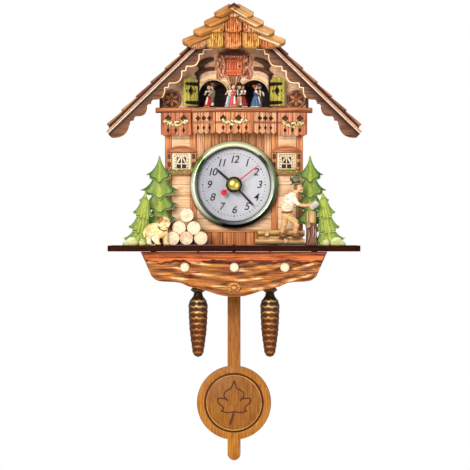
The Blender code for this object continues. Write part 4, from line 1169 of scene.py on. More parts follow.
def railing_panel(shape, start, end, bottom, count, tones, apart=2, size=1.0):
    """A run of pointed planks with clovers and diamonds cut on their joints, before a board painted dark as
    the shade seen through the cutouts.
    """
    start, end = Vector(start), Vector(end)
    run = end - start
    length = run.length
    place = Matrix.Translation((start.x, start.y, 0)) @ Matrix.Rotation(math.atan2(run.y, run.x), 4, "Z")
    width = length / count
    for index in range(count):
        left, right = index * width + 0.12, (index + 1) * width - 0.12
        outline = [(left, bottom + 1.6), ((left + right) / 2, bottom), (right, bottom + 1.6)]
        if index < count - 1:
            outline += notch_points(right, bottom + 4.6, -1, "diamond")
            if index % apart == 0:
                outline += notch_points(right, CLOVER_Z, -1, "clover", size)
        outline += [(right, RAIL_LOW + 0.6), (left, RAIL_LOW + 0.6)]
        if index > 0:
            if (index - 1) % apart == 0:
                outline += notch_points(left, CLOVER_Z, 1, "clover", size)[::-1]
            outline += notch_points(left, bottom + 4.6, 1, "diamond")[::-1]
        shape.add(plate(outline, -0.9, 0.9), shape.chance.choice(tones), place, axis="Z", vary=0.05)
    # Painted shade: the dark board shows through the cutouts as shade.
    shape.add(slab(0.4, length - 0.4, 1.1, 1.7, bottom + 2.4, RAIL_LOW), srgb(84, 46, 26), place)
    return place, length


def railing_rail(shape, place, start, end, tone):
    """A round-nosed top rail, its two ends drawn in."""
    height = (RAIL_HIGH + RAIL_LOW) / 2
    half = [(0, RAIL_HIGH), (1.3, RAIL_HIGH - 0.4), (2.0, RAIL_HIGH - 1.4), (2.0, RAIL_LOW + 1.4),
            (1.3, RAIL_LOW + 0.5), (0, RAIL_LOW)]
    section = mirrored(half[4:0:-1]) + half
    points = []
    for x in (start, start + 0.5, end - 0.5, end):
        squeeze = 0.82 if x in (start, end) else 1.0
        for y, z in section:
            points.append(Vector((x, y * squeeze, height + (z - height) * squeeze)))
    count = len(section)
    shape.add((points, end_faces(4, count) + tube_faces(4, count), None), tone, place)


BAY = [(-30.9, -56.5), (-13.7, -63.0), (14.8, -63.0), (31.6, -56.5)]


def build_balustrades():
    """The railing on each side of the house and, between them, the bay of three panels."""
    red = [srgb(206, 132, 92), srgb(192, 116, 76), srgb(216, 146, 106)]
    pink = [srgb(224, 168, 126), srgb(212, 150, 108), srgb(232, 182, 142)]
    warm = [srgb(222, 148, 98), srgb(208, 130, 80), srgb(230, 164, 116)]
    # Painted shade: the rails darken towards their undersides and lighten on top.
    side_rail_shaded = fade(srgb(104, 60, 36), srgb(216, 138, 90), UP, -8.4, -5.6)
    bay_rail_shaded = fade(srgb(110, 66, 42), srgb(206, 146, 106), UP, -8.4, -5.6)
    for side, name, inner in ((-1, "left", 31.9), (1, "right", 32.6)):
        low, high = reach_of(side, inner, 54.8)
        panel = Shape(61 + side)
        place, run = railing_panel(panel, (low, -56.5), (high, -56.5), -26.0, 4, red)
        first, last = (-3.8, run) if side < 0 else (0.0, run + 3.8)
        railing_rail(panel, place, first, last, side_rail_shaded)
        panel.add(slab(0.2, run - 0.2, *BAND), srgb(170, 104, 68), place)
        for x in (run / 2 - 6, run / 2 + 6):
            panel.add(slab(x - 1, x + 1, 0.5, 8.0, -9.2, -7.6), srgb(150, 96, 62), place)
        panel.build("balustrade_look_" + name, "house", HOUSE, ["balustrade_" + name])
    bay = Shape(64)
    for start, end, tones, count, apart, size in (
            (*BAY[0:2], pink, 4, 1, 0.78), (*BAY[1:3], warm, 5, 2, 1.0), (*BAY[2:4], pink, 4, 1, 0.78)):
        place, length = railing_panel(bay, start, end, -24.3, count, tones, apart, size)
        railing_rail(bay, place, -0.6, length + 0.6, bay_rail_shaded)
        bay.add(slab(0, length, *BAND), srgb(186, 122, 84), place)
    bay.build("balustrade_look_bay", "house", HOUSE, ["balustrade_bay"])


def build_garlands():
    """Leafy garlands that droop along the balustrades."""
    garlands = Shape(66)
    chance = garlands.chance
    for x0, x1, y, z, droop in ((-52, -35, -58.2, -14.6, 2.2), (-9, 9, -64.8, -14.0, 2.0),
                                (36.7, 52, -58.2, -15.4, 2.6)):
        for index in range(34):
            share = index / 33
            swag = math.sin(math.pi * share)
            sag = z - droop * swag + chance.uniform(-1.3, 1.3) * (0.4 + swag)
            spot = Vector((x0 + (x1 - x0) * share, y - chance.uniform(0, 0.5), sag))
            tone = chance.choice([srgb(214, 204, 120), srgb(238, 224, 160), srgb(172, 166, 76),
                                  srgb(248, 240, 206)])
            size = chance.uniform(0.5, 0.95)
            turn = Matrix.Translation(spot) @ Matrix.Rotation(chance.uniform(0, 3), 4, "Y")
            garlands.add(ball((0, 0, 0), (size * 1.5, 0.6, size * 0.8), 8, 5), tone, turn)
    garlands.build("balcony_garlands", "house", FOLIAGE)


# ---------------------------------------------------------------- dancers

def dress(shape, place, *pieces):
    """Adds pairs of a part and its tint at one place."""
    for part, tint in pieces:
        shape.add(part, tint, place)


def pleats(angle, radius, height):
    """The folds of a skirt."""
    return radius * (1 + 0.07 * math.cos(11 * angle)), height


def lady(shape, place, skirt, bodice, hair):
    """A doll in a pleated skirt, facing negative Y, 17 mm high."""
    gown = [(0, 0.1), (3.1, 0.1), (3.35, 0.5), (3.1, 2.4), (2.4, 5.0), (1.6, 7.4), (1.2, 8.6), (0, 8.7)]
    hem = [(3.1, -0.05), (3.5, -0.05), (3.48, 0.55), (3.1, 0.6), (3.1, -0.05)]
    chest = [(0, 8.2), (1.25, 8.3), (1.5, 10.0), (1.75, 11.6), (1.3, 12.6), (0, 12.9)]
    dress(shape, place, (lathe(gown, 44, pleats), skirt), (lathe(hem, 44, pleats), WHITE),
          (sweep([(-0.9, -2.5, 2.0), (-0.4, -1.9, 7.9)], [0.9, 0.5], 8), WHITE),
          (lathe(chest, 16), bodice), (ball((0, -0.9, 11.9), (1.2, 0.8, 0.8), 10, 6), WHITE))
    for side in (-1, 1):
        arm = [(side * 2.1, -0.2, 11.2), (side * 2.9, -1.2, 9.8), (side * 1.9, -2.4, 9.6)]
        dress(shape, place, (ball((side * 1.9, 0, 11.7), (1.0, 0.95, 1.15), 10, 6), WHITE),
              (sweep(arm, [0.55, 0.5, 0.42], 7), SKIN))
    dress(shape, place, (sweep([(0, 0, 12.4), (0, 0, 13.6)], 0.6, 8), SKIN),
          (ball((0, -0.1, 15.0), (1.45, 1.5, 1.75)), SKIN),
          (ball((0, 0.45, 15.4), (1.65, 1.55, 1.75), 12, 8), hair),
          (ball((0, 1.7, 16.2), (0.9, 0.8, 0.9), 10, 6), hair))
    face(shape, place, 15.0)


def face(shape, place, height):
    """Plain doll's eyes, nose and mouth."""
    for side in (-1, 1):
        shape.add(ball((side * 0.52, -1.45, height + 0.2), (0.2, 0.15, 0.22), 6, 4), srgb(60, 40, 30), place)
    shape.add(ball((0, -1.6, height - 0.2), (0.2, 0.22, 0.28), 6, 4), srgb(236, 180, 150), place)
    shape.add(ball((0, -1.42, height - 0.75), (0.4, 0.14, 0.13), 6, 4), srgb(186, 84, 70), place)


def lord(shape, place, vest, trousers, hat, sleeves=WHITE):
    """A doll in a waistcoat and a brimmed hat, facing negative Y, 18.6 mm high."""
    for side in (-1, 1):
        leg = [(side * 0.95, 0, 7.2), (side * 1.1, -0.1, 3.8), (side * 1.15, 0, 1.2)]
        dress(shape, place, (sweep(leg, [1.15, 0.85, 0.7], 9), trousers),
              (ball((side * 1.2, -0.5, 0.55), (0.8, 1.4, 0.6), 10, 6), BLACK),
              (sweep([(side * 1.15, 0, 1.2), (side * 1.15, 0, 3.4)], 0.8), WHITE))
    chest = [(0, 7.6), (1.5, 7.7), (1.7, 9.6), (2.0, 11.6), (1.6, 12.9), (0, 13.3)]
    dress(shape, place, (ball((0, 0, 7.4), (1.75, 1.3, 1.3), 12, 7), trousers), (lathe(chest, 16), vest),
          (sweep([(0, -1.5, 8.4), (0, -1.85, 11.4), (0, -1.4, 12.7)], [0.35, 0.5, 0.5], 6), WHITE))
    for side in (-1, 1):
        arm = [(side * 1.9, 0, 12.0), (side * 2.7, -0.6, 10.4), (side * 2.5, -1.8, 9.2)]
        dress(shape, place, (sweep(arm, [0.85, 0.75, 0.6]), sleeves),
              (ball((side * 2.3, -2.2, 9.0), 0.6, 8, 5), SKIN))
    brim = [(0, 16.1), (2.7, 16.0), (2.75, 16.35), (1.65, 16.5), (1.45, 17.9), (1.0, 18.4), (0, 18.45)]
    dress(shape, place, (sweep([(0, 0, 12.8), (0, 0, 14.0)], 0.65), SKIN),
          (ball((0, 0, 15.2), (1.45, 1.5, 1.7)), SKIN),
          (ball((0, 0.5, 15.3), (1.6, 1.4, 1.5), 12, 8), srgb(84, 52, 34)), (lathe(brim, 18), hat))
    face(shape, place, 15.1)


COUPLES = {
    "left": (-150, 20.2, dict(skirt=srgb(196, 62, 50), bodice=srgb(52, 38, 34), hair=srgb(150, 92, 50)),
             dict(vest=srgb(128, 112, 96), trousers=srgb(110, 96, 82), hat=srgb(96, 84, 70),
                  sleeves=srgb(170, 156, 140))),
    "front": (-90, 17.7, dict(skirt=srgb(222, 96, 92), bodice=srgb(206, 70, 70), hair=srgb(74, 42, 26)),
              dict(vest=srgb(34, 28, 28), trousers=srgb(206, 172, 126), hat=BLACK)),
    "right": (-30, 20.2, dict(skirt=srgb(84, 120, 166), bodice=srgb(60, 74, 110), hair=srgb(164, 84, 44)),
              dict(vest=srgb(126, 122, 118), trousers=srgb(104, 98, 92), hat=srgb(88, 78, 70))),
}
GUESTS = ((-2.9, 3.0, srgb(150, 200, 226), srgb(240, 236, 226), srgb(190, 140, 90)),
          (6.4, 3.6, srgb(166, 46, 52), srgb(60, 40, 40), srgb(60, 36, 26)))


def build_dancers():
    """Three couples on the turning platform, two ladies looking on behind the middle one."""
    inward = Matrix.Rotation(math.radians(38), 4, "Z")
    wide = Matrix.Diagonal((1.12, 1.12, 1.0, 1.0))
    for name, (bearing, reach, her, his) in COUPLES.items():
        turn = math.radians(bearing)
        outward = Vector((math.cos(turn), math.sin(turn), 0))
        along = Vector((-outward.y, outward.x, 0))
        centre = CAROUSEL + outward * reach + Vector((0, 0, PLATFORM_Z))
        outwards = Matrix.Rotation(turn + math.pi / 2, 4, "Z")
        pair = Shape(70 + bearing)
        hers, his_own = (-0.6, 4.0) if name == "front" else (-2.5, 3.0)
        lady(pair, Matrix.Translation(centre + along * hers) @ outwards @ inward @ wide, **her)
        lord(pair, Matrix.Translation(centre + along * his_own) @ outwards @ inward.inverted() @ wide, **his)
        for offset, back, *tones in GUESTS if name == "front" else ():
            guest = Matrix.Translation(centre + along * offset - outward * back) @ outwards
            lady(pair, guest @ inward.inverted() @ wide, *tones)
        base = [(0, -0.35), (5.6, -0.35), (5.6, 0.0), (5.3, 0.15), (0, 0.15)]
        pair.add(lathe(base, 30), srgb(150, 96, 60), Matrix.Translation(centre))
        pair.build("dancing_couple_" + name, "carousel", PAINTED, ["dancers_" + name])


# ---------------------------------------------------------------- front of the house

BOARD_BACK = -47.9
PALE_WOOD = [srgb(244, 206, 166), srgb(238, 198, 156), srgb(248, 214, 178)]


def build_front():
    """The wall under the balcony: corner posts, dark planks round the dial and a planked sill."""
    wall = Shape(81)
    outline = rectangle(WALL_LOW.x, WALL_HIGH.x, WALL_LOW.z, WALL_HIGH.z)
    hole = circle((DIAL_X, DIAL_Z), 4.4, 24)
    wall.add(plate(outline, WALL_FACE, -44.1, [hole], edge=0.2), srgb(160, 112, 74), axis="Z")
    for side in (-1, 1):
        corner = slab(side * 47.0, side * 51.4, -44.5, -43.7, WALL_LOW.z, WALL_HIGH.z)
        wall.add(corner, srgb(160, 112, 74), axis="Z")
    brown = [srgb(222, 160, 104), srgb(206, 146, 94), srgb(228, 178, 132), srgb(198, 138, 90)]
    planks(wall, [-28 + 56 * k / 10 for k in range(11)], -62.0, -10.2, -48.9, BOARD_BACK, brown)
    for side in (-1, 1):
        planks(wall, reach_of(side, 47.0, 51.6), -107.1, -10.0, -49.6, BOARD_BACK, [srgb(226, 146, 88)])
        planks(wall, reach_of(side, 28.0, 33.0), -96.2, -10.2, -49.5, BOARD_BACK, [srgb(226, 152, 94)])
    sill = [srgb(226, 150, 86), srgb(210, 134, 74), srgb(236, 166, 102)]
    planks(wall, [-51.6 + 103.2 * k / 12 for k in range(13)], -107.1, -97.0, -49.6, BOARD_BACK, sill)
    wall.add(board(-51.6, 51.6, -97.4, -95.9, -50.4, BOARD_BACK, 0.4), srgb(214, 150, 96))
    wall.build("front_boards", "house", HOUSE, ["front_wall"])


def build_panels():
    """Pale boards laid in level courses under the dial and beside the windows."""
    panels = Shape(82)
    for left, right, foot, rise, count, gap, edge in (
            (-28.2, 28.2, -95.9, 8.45, 4, 0.1, 0.2), (-46.8, -32.8, -96.2, 8.6, 10, 0.08, 0.15),
            (32.8, 46.8, -96.2, 8.6, 10, 0.08, 0.15)):
        courses = [foot + rise * k for k in range(count + 1)]
        for low, high in zip(courses, courses[1:]):
            course = board(left, right, low + gap, high - gap, -48.7, BOARD_BACK, edge)
            panels.add(course, panels.chance.choice(PALE_WOOD), vary=0.03)
    panels.build("pale_panels", "house", SAWN)


WINDOW_X, LEAF_FOOT = 39.4, -37.9


def build_window_frame(name, side, middle_x):
    """An arched header over a window, and a pair of narrow leaves with dark panes on each side."""
    casing = Shape(91 + side)
    header = arc((middle_x, -51.6), 18.2, 55, 125, 14)
    board_foot = [(header[-1][0], LEAF_FOOT), (header[0][0], LEAF_FOOT)]
    casing.add(plate(header + board_foot, -52.1, -48.2, edge=0.5), srgb(184, 118, 70))
    casing.add(sweep([(x, -52.2, z + 0.1) for x, z in header], 0.6, 6), srgb(196, 116, 68))
    for which in (-1, 1):
        centre = middle_x + which * 9.2
        for left, right in ((centre - 2.0, centre), (centre, centre + 2.0)):
            leaf = board(left + 0.08, right - 0.08, -50.4, LEAF_FOOT, -50.9, -48.3)
            casing.add(leaf, srgb(206, 146, 94), axis="Z", vary=0.1)
        for low in (-48.6, -42.6):
            pane = slab(centre - 1.2, centre + 1.2, -51.1, -50.8, low, low + 3.6)
            casing.add(pane, srgb(90, 52, 30), axis="Z")
    casing.build("window_frame_" + name, "house", HOUSE, ["window_" + name])


def lace_holes(left, middle_x):
    """Two rows of holes along the lace at the top of a window and two files down each side of it."""
    holes = []
    for index in range(7):
        x = left + 1.2 + index * 1.93
        holes += [(x + 0.475, -40.9, 0.42), (x, -39.2, 0.42)]
    for step in range(4):
        z = -42.8 - 2.1 * step
        holes += [(middle_x + offset, z, 0.4) for offset in (-4.4, -5.7, 4.4, 5.7)]
    return holes


def build_lattice(name, side, middle_x):
    """The window: a dark pane behind an ivory frame, pierced lace, bars and tied curtains."""
    lattice = Shape(93 + side)
    left, right = middle_x - 6.9, middle_x + 6.9
    foot, top = -50.6, -37.8
    lattice.add(slab(left, right, -48.9, -48.4, foot, top), srgb(48, 34, 28))
    for x in (left + 0.6, right - 0.6):
        lattice.add(slab(x - 0.6, x + 0.6, -50.5, -48.8, foot, top), IVORY, axis="Z")
    for z in (-50.2, -38.4):
        lattice.add(slab(left, right, -50.4, -48.8, z - 0.5, z + 0.5), IVORY)
    lattice.add(slab(left, right, -50.2, -49.0, -41.4, -38.2), LACE)
    for x in (middle_x - 4.9, middle_x + 4.9):
        lattice.add(slab(x - 1.3, x + 1.3, -50.1, -49.0, -50.4, -41.0), LACE, axis="Z")
    for x, z, wide in lace_holes(left, middle_x):
        lattice.add(ball((x, -50.1, z), (wide, 0.3, 0.5), 8, 5), srgb(132, 116, 84))
    lattice.add(slab(middle_x - 0.35, middle_x + 0.35, -49.9, -48.8, -50.4, -41.2), IVORY, axis="Z")
    lattice.add(slab(middle_x - 3.8, middle_x + 3.8, -49.9, -48.8, -46.6, -45.9), IVORY)
    for which in (-1, 1):
        drape = [(middle_x + which * x, -49.6, z) for x, z in ((0.5, -41.2), (2.0, -43.2), (3.6, -46.8))]
        lattice.add(sweep(drape, [0.5, 0.9, 0.35], 7), srgb(240, 230, 206))
    lattice.build("window_lattice_" + name, "house", CREAM_WOOD, bevel=0.15)


def build_flower_box(name, side, middle_x):
    """A wooden box heaped with small flowers and leaves."""
    box = Shape(95 + side)
    box.add(board(middle_x - 10.5, middle_x + 10.5, -54.6, -51.6, -52.6, -48.2, 0.4), srgb(150, 110, 66))
    chance = box.chance
    tones = [srgb(186, 186, 96), srgb(140, 150, 66), srgb(222, 206, 140), srgb(206, 120, 90),
             srgb(166, 166, 80)]
    for _ in range(34):
        spot = (middle_x + chance.uniform(-9.6, 9.6), chance.uniform(-52.4, -50.8),
                chance.uniform(-54.0, -50.6))
        tone = chance.choice(tones)
        box.add(ball(spot, chance.uniform(0.6, 1.15), 8, 5), tone)
    box.build("flower_box_" + name, "house", FOLIAGE)


def build_window(side, name):
    """One window with its frame, its lattice and its flower box."""
    for build_part in (build_window_frame, build_lattice, build_flower_box):
        build_part(name, side, side * WINDOW_X)


# ---------------------------------------------------------------- trees

def tier(shape, place, height, radius, flatten, drop, tones, corners=8, neck=0.3, fold=0.12):
    """One skirt of branches about the local origin at its top: hollow sides that sweep out to sharp corners,
    with the hem hanging lowest in front and behind. tones are the painted-lit middle, the painted-shade
    side, the rim and the painted shade underneath."""
    centre, shaded_flank, rim, under = tones
    steps = corners * 6
    levels = ((0.0, 0.0), (0.2, 0.06), (0.4, 0.16), (0.6, 0.32), (0.78, 0.54), (0.91, 0.79), (1.0, 1.0))
    points, tints = [], []
    for level, (fall, spread) in enumerate(levels + ((0.93, 0.9), (0.8, 0.3))):
        inner = level >= len(levels)
        reach = (neck + (1 - neck) * spread) * radius
        for step in range(steps):
            angle = 2 * math.pi * step / steps
            ridge = 0.5 + 0.5 * math.cos(corners * angle)
            face_on = 1 - abs(math.cos(angle)) ** 1.4
            far = reach * (1 - fold * spread * (1 - ridge) * (1.7 - abs(math.cos(angle))))
            low = height + drop * face_on + (0.11 * height) * ridge * (0.35 + 0.65 * face_on)
            points.append(Vector((far * math.cos(angle), far * math.sin(angle) * flatten, -fall * low)))
            # Painted light: faces turned to the front and back are lit, the sides shaded, the ridges lighter
            # and the valleys darker.
            tone = blend(shaded_flank, centre, face_on ** 0.8)
            tone = shade(tone, 0.68 + 0.34 * ridge ** 1.5)
            # Painted shade on the underside.
            if inner:
                tone = under
            elif level == len(levels) - 1:
                tone = blend(tone, rim, 0.6)
            tints.append(tone)
    rings = len(levels) + 2
    faces = tube_faces(rings, steps) + end_faces(rings, steps)
    named = {tuple(point): tone for point, tone in zip(points, tints)}
    shape.add((points, faces, None), lambda local, placed: named[tuple(local)], place, axis="Z")


# Tree tones: the lit middle, the shaded side, the rim and the painted shade underneath.
FIR_TONES_LIT_AND_SHADED = (srgb(166, 186, 66), srgb(70, 112, 68), srgb(150, 176, 112), srgb(44, 74, 30))
LIME_TONES_LIT_AND_SHADED = (srgb(186, 198, 78), srgb(112, 148, 70), srgb(222, 232, 176), srgb(70, 100, 30))


def build_tall_tree(name, foot_x, y, flatten, tiers, top):
    """A fir of four wide tiers on a short trunk."""
    tree = Shape(101)
    above = top
    for index, (tip, radius) in enumerate(tiers):
        place = Matrix.Translation((foot_x, y, above)) @ Matrix.Rotation(0.06 * (-1) ** index, 4, "Z")
        tier(tree, place, above - tip, radius, flatten, 6.4, FIR_TONES_LIT_AND_SHADED, 8, 0.04 if index == 0 else 0.3, 0.22)
        above = tip - 0.2
    trunk = [(foot_x, y, tiers[-1][0] + 1.5), (foot_x, y, FLOOR_Z)]
    tree.add(sweep(trunk, [2.6, 3.4], 12, 0.7), srgb(110, 78, 48), axis="Z")
    tree.build("fir_" + name, "house", FOLIAGE, ["tree_" + name], smooth=28)


def mossy_mound(x, y, wide, high, side):
    """A rounded clump with a lower one beside it."""
    clump = ball((x, y - 2.4, FLOOR_Z + high * 0.3), (wide, 1.9, high * 0.7), 16, 10)
    lower_at = (x - side * 1.2, y - 2.8, FLOOR_Z + high * 0.2)
    lower = ball(lower_at, (wide * 0.7, 1.6, high * 0.4), 14, 8)
    return melt([clump, lower], 0.4, 4)


def build_short_tree(name, side, foot_x, y, tiers, top):
    """A leaning, feathery fir with mossy mounds at its foot."""
    tree = Shape(105 + side)
    lean = -0.172 * side
    tilt = Matrix.Rotation(math.atan(lean), 4, "Y")
    above = top
    for index, (tip, radius) in enumerate(tiers):
        inward = -side * 0.24 * radius
        place = Matrix.Translation((foot_x + lean * (above - FLOOR_Z) + inward, y, above)) @ tilt
        neck = 0.04 if index == 0 else 0.4
        tier(tree, place, above - tip, 1.24 * radius, 0.36, 4.4, LIME_TONES_LIT_AND_SHADED, 14, neck, 0.34)
        above = tip + 1.2
    lowest = tiers[-1][0]
    trunk = [(foot_x + lean * (lowest - FLOOR_Z), y, lowest + 2), (foot_x, y, FLOOR_Z)]
    tree.add(sweep(trunk, [1.8, 2.2], 10), srgb(120, 84, 52), axis="Z")
    moss = fade(srgb(238, 238, 200), srgb(196, 204, 122), UP, -101, -107)
    for out, wide, high in ((-2.6, 4.8, 6.4), (-6.8, 2.8, 3.6), (5.2, 3.0, 5.0)):
        tree.add(mossy_mound(foot_x - side * out, y, wide, high, side), moss)
    tree.build("fir_" + name, "house", FOLIAGE, ["tree_" + name], smooth=28)


# ---------------------------------------------------------------- figures on the shelf

def log_end(radius, length, rings=5):
    """A sawn log along local Z with growth rings standing on its end."""
    profile = [(0, length)]
    for ring in range(1, rings + 1):
        reach = radius * 0.9 * ring / rings
        profile += [(reach - 0.2, length), (reach - 0.1, length - 0.06), (reach, length)]
    profile += [(radius * 0.97, length), (radius, length - 0.35), (radius, 0), (0, 0)]

    def knots(angle, reach, height):
        return reach * (1 + 0.02 * math.sin(3 * angle) + 0.012 * math.sin(7 * angle)), height
    return lathe(profile, 30, knots)


def bark_tint(radius, length, end, bark):
    """Bark round a log and sawn wood, darker towards the rim, on its end."""
    def tint(local, placed):
        reach = math.hypot(local.x, local.y)
        if local.z < length - 0.25 or reach > radius * 0.985:
            return bark
        return shade(end, 1.0 - 0.14 * (reach / radius) ** 2)
    return tint


def build_pile():
    """Six sawn logs stacked in a pyramid on a dark sleeper."""
    pile = Shape(111)
    for x, z, length in ((-35, -85, 10.8), (-40.7, -94.4, 10.2), (-29.8, -94.4, 10.8), (-45.3, -102, 10.8),
                         (-35.3, -102, 10.8), (-24.6, -102, 10.2)):
        turn = turned_to_front(x, -60.6, z) @ Matrix.Rotation(pile.chance.uniform(0, 6), 4, "Z")
        tone = srgb(255, 240, 212) if z > -90 else srgb(252, 232, 204)
        pile.add(log_end(5.1, length), bark_tint(5.1, length, tone, srgb(122, 82, 48)), turn, axis="Z")
    pile.add(slab(-50, -20, -66, -61, -107.1, -104.5), srgb(96, 64, 40))
    pile.build("stacked_logs", "house", SAWN, ["log_pile"])


def build_felled():
    """Three felled trunks on their sides, two branch stubs and a few roots."""
    felled = Shape(112)
    for y, z, start, end, radius in ((-64.6, -98.4, 17.6, 52.6, 2.3), (-70.0, -104.8, 15.7, 52.6, 2.3),
                                     (-65.4, -103.2, 18.8, 51.2, 2.6)):
        run = end - start
        profile = [(0, 0), (radius * 0.5, 0), (radius * 0.55, 0.15), (radius * 0.9, 0.1), (radius, 0.5),
                   (radius * 1.03, run * 0.4), (radius * 0.97, run * 0.7), (radius, run - 0.5),
                   (radius * 0.9, run - 0.1), (0, run)]
        turn = Matrix.Translation((start, y, z)) @ Matrix.Rotation(math.pi / 2, 4, "Y")
        # Painted light: each trunk is lighter on top and darker underneath.
        tone = fade(srgb(246, 204, 140), srgb(120, 80, 46), UP, z + 2.2, z - 2.2)
        felled.add(lathe(profile, 20), tone, turn, axis="Z")
    for x, y, z in ((38.3, -71.0, -103.9), (24.4, -65.6, -99.0)):
        tint = bark_tint(1.7, 2.6, srgb(240, 212, 160), srgb(150, 104, 62))
        felled.add(log_end(1.7, 2.6, 3), tint, turned_to_front(x, y, z), axis="Z")
    for x in (20.0, 31.0, 43.5):
        root = [(x, -68.5, -105.4), (x + 2.2, -71.3, -103.0), (x + 5.4, -71.9, -102.6)]
        felled.add(sweep(root, [0.8, 0.6, 0.3], 7), srgb(206, 160, 104))
    felled.build("felled_trunks", "house", CARVED, ["felled_logs"])


STUMP_X, STUMP_Y, STUMP_R = 57.4, -68, 3.9


def rough_bark(angle, radius, height):
    """The uneven round of a stump."""
    return radius * (1 + 0.06 * math.sin(5 * angle + 1) + 0.04 * math.sin(11 * angle)), height


def build_stump():
    """The chopping stump with a knot, streaks and roots, and the billet that stands on it."""
    stump = Shape(113)
    trunk = [(0, -107.2), (4.9, -107.2), (4.2, -104.6), (STUMP_R, -98), (STUMP_R, -91.2), (3.6, -90.7),
             (0, -90.6)]
    billet = [(0, -91.0), (3.3, -91.0), (3.4, -90.4), (3.3, -82.4), (3.0, -81.9), (0, -81.9)]
    stump.add(lathe(trunk, 44, rough_bark), srgb(132, 92, 66), Matrix.Translation((STUMP_X, STUMP_Y, 0)),
              axis="Z")
    stump.add(lathe(billet, 30, rough_bark), srgb(222, 194, 134), Matrix.Translation((57.2, STUMP_Y, 0)),
              axis="Z")
    knot_x, knot_z = 54.9, -92.6
    tint = bark_tint(2.0, 2.2, srgb(196, 156, 118), srgb(118, 82, 58))
    stump.add(log_end(2.0, 2.2, 3), tint, turned_to_front(knot_x, -70.6, knot_z), axis="Z")
    stump.add(sweep(at_depth(arc((knot_x, knot_z), 1.9, 0, 360, 18), -72.3), 0.34, 6), srgb(44, 28, 22))
    for x, top, foot in ((55.4, -95.6, -103.2), (58.6, -93.0, -101.0), (60.4, -95.0, -104.0)):
        y = -68.3 - math.sqrt(max(0.1, STUMP_R ** 2 - (x - STUMP_X) ** 2))
        streak = [(x, y, top), (x + 0.3, y - 0.3, (top + foot) / 2), (x - 0.2, y - 0.5, foot)]
        stump.add(sweep(streak, [0.2, 0.5, 0.2], 6), srgb(216, 190, 196), axis="Z")
    for out in (-3.2, 3.4):
        root = [(STUMP_X + out * share, y, z)
                for share, y, z in ((1.0, -70.6, -107.0), (0.8, -71.2, -103.5), (0.55, -71.0, -99))]
        stump.add(sweep(root, [1.3, 0.9, 0.4]), srgb(140, 102, 72), axis="Z")
    stump.build("chopping_block", "house", CARVED, ["chopping_stump"])


def limb(points, radii):
    """An arm, a leg or a neck that tapers along its path."""
    return sweep(points, radii, 12)


DOG_Y = -75.3


def dog_body():
    """Chest, back, head and tail, then three legs with paws, flowed into one skin."""
    y = DOG_Y
    body = [
        ball((-58.4, y, -95.6), (6.6, 3.0, 5.0), 20, 12), ball((-53.4, y, -96.8), (4.6, 3.1, 5.4), 18, 12),
        ball((-62.2, y, -96.6), (3.2, 2.8, 5.2), 16, 10),
        limb([(-53.8, y, -94), (-52.4, y, -90.0)], [4.0, 3.4]),
        ball((-51.6, y, -90.2), (4.5, 2.9, 4.3), 18, 12),
        limb([(-50.8, y, -91.4), (-47.6, y, -92.8)], [2.9, 2.0]),
        limb([(-64.8, y, -94.6), (-66.4, y, -98.0), (-66.2, y, -101.5)], [1.3, 1.0, 0.7]),
    ]
    for x, side in ((-62.8, 1), (-56.6, -1), (-50.6, 1)):
        leg_y = y + side * 0.9
        body.append(limb([(x, leg_y, -98), (x - 0.2, leg_y, -103), (x, leg_y, -106.2)], [2.3, 1.9, 1.9]))
        body.append(ball((x + 0.7, leg_y, -106.2), (2.2, 1.6, 1.0), 12, 7))
    return melt(body, 0.33, 7)


def dog_coat(local, placed):
    """Cream fur with a brown saddle, leg and mask, each a soft round patch."""
    def patch(x, z, wide, high):
        return math.exp(-((placed.x - x) ** 2 / wide + (placed.z - z) ** 2 / high))
    saddle = patch(-63.5, -94, 12.0, 30.0)
    leg = patch(-52.2, -102, 6.0, 22.0)
    mask = patch(-51.6, -88.6, 10.0, 8.0)
    brown = min(0.85, 0.6 * saddle + 0.8 * leg + 0.55 * mask)
    return blend(srgb(250, 236, 178), srgb(216, 152, 84), brown)


def build_dog():
    """A small dog that stands facing right, with a dropped ear and a collar."""
    y = DOG_Y
    dog = Shape(121)
    dog.add(dog_body(), dog_coat)
    ear = [ball((-54.2, y - 2.3, -90.4), (1.7, 0.9, 3.0), 12, 8),
           ball((-53.6, y - 2.0, -87.8), (1.6, 1.1, 1.5), 12, 8)]
    dog.add(melt(ear, 0.3, 3), srgb(182, 112, 56))
    dog.add(ball((-45.9, y, -92.2), (0.9, 0.9, 0.75), 10, 6), BLACK)
    dog.add(ball((-49.9, y - 2.75, -89.3), (0.5, 0.35, 0.5), 8, 5), BLACK)
    dog.add(sweep([(-46.4, y - 1.3, -94.0), (-49.6, y - 2.3, -94.2)], 0.2, 6), srgb(110, 60, 36))
    collar = [(-56.2, y - 2.6, -92.6), (-54.8, y - 3.2, -95.4), (-51.8, y - 3.3, -96.6),
              (-49.4, y - 2.6, -96.2)]
    dog.add(sweep(collar, 0.4, 7), srgb(120, 70, 40))
    dog.build("shelf_dog", "house", PAINTED, ["dog"])


MAN_Y = -73.0


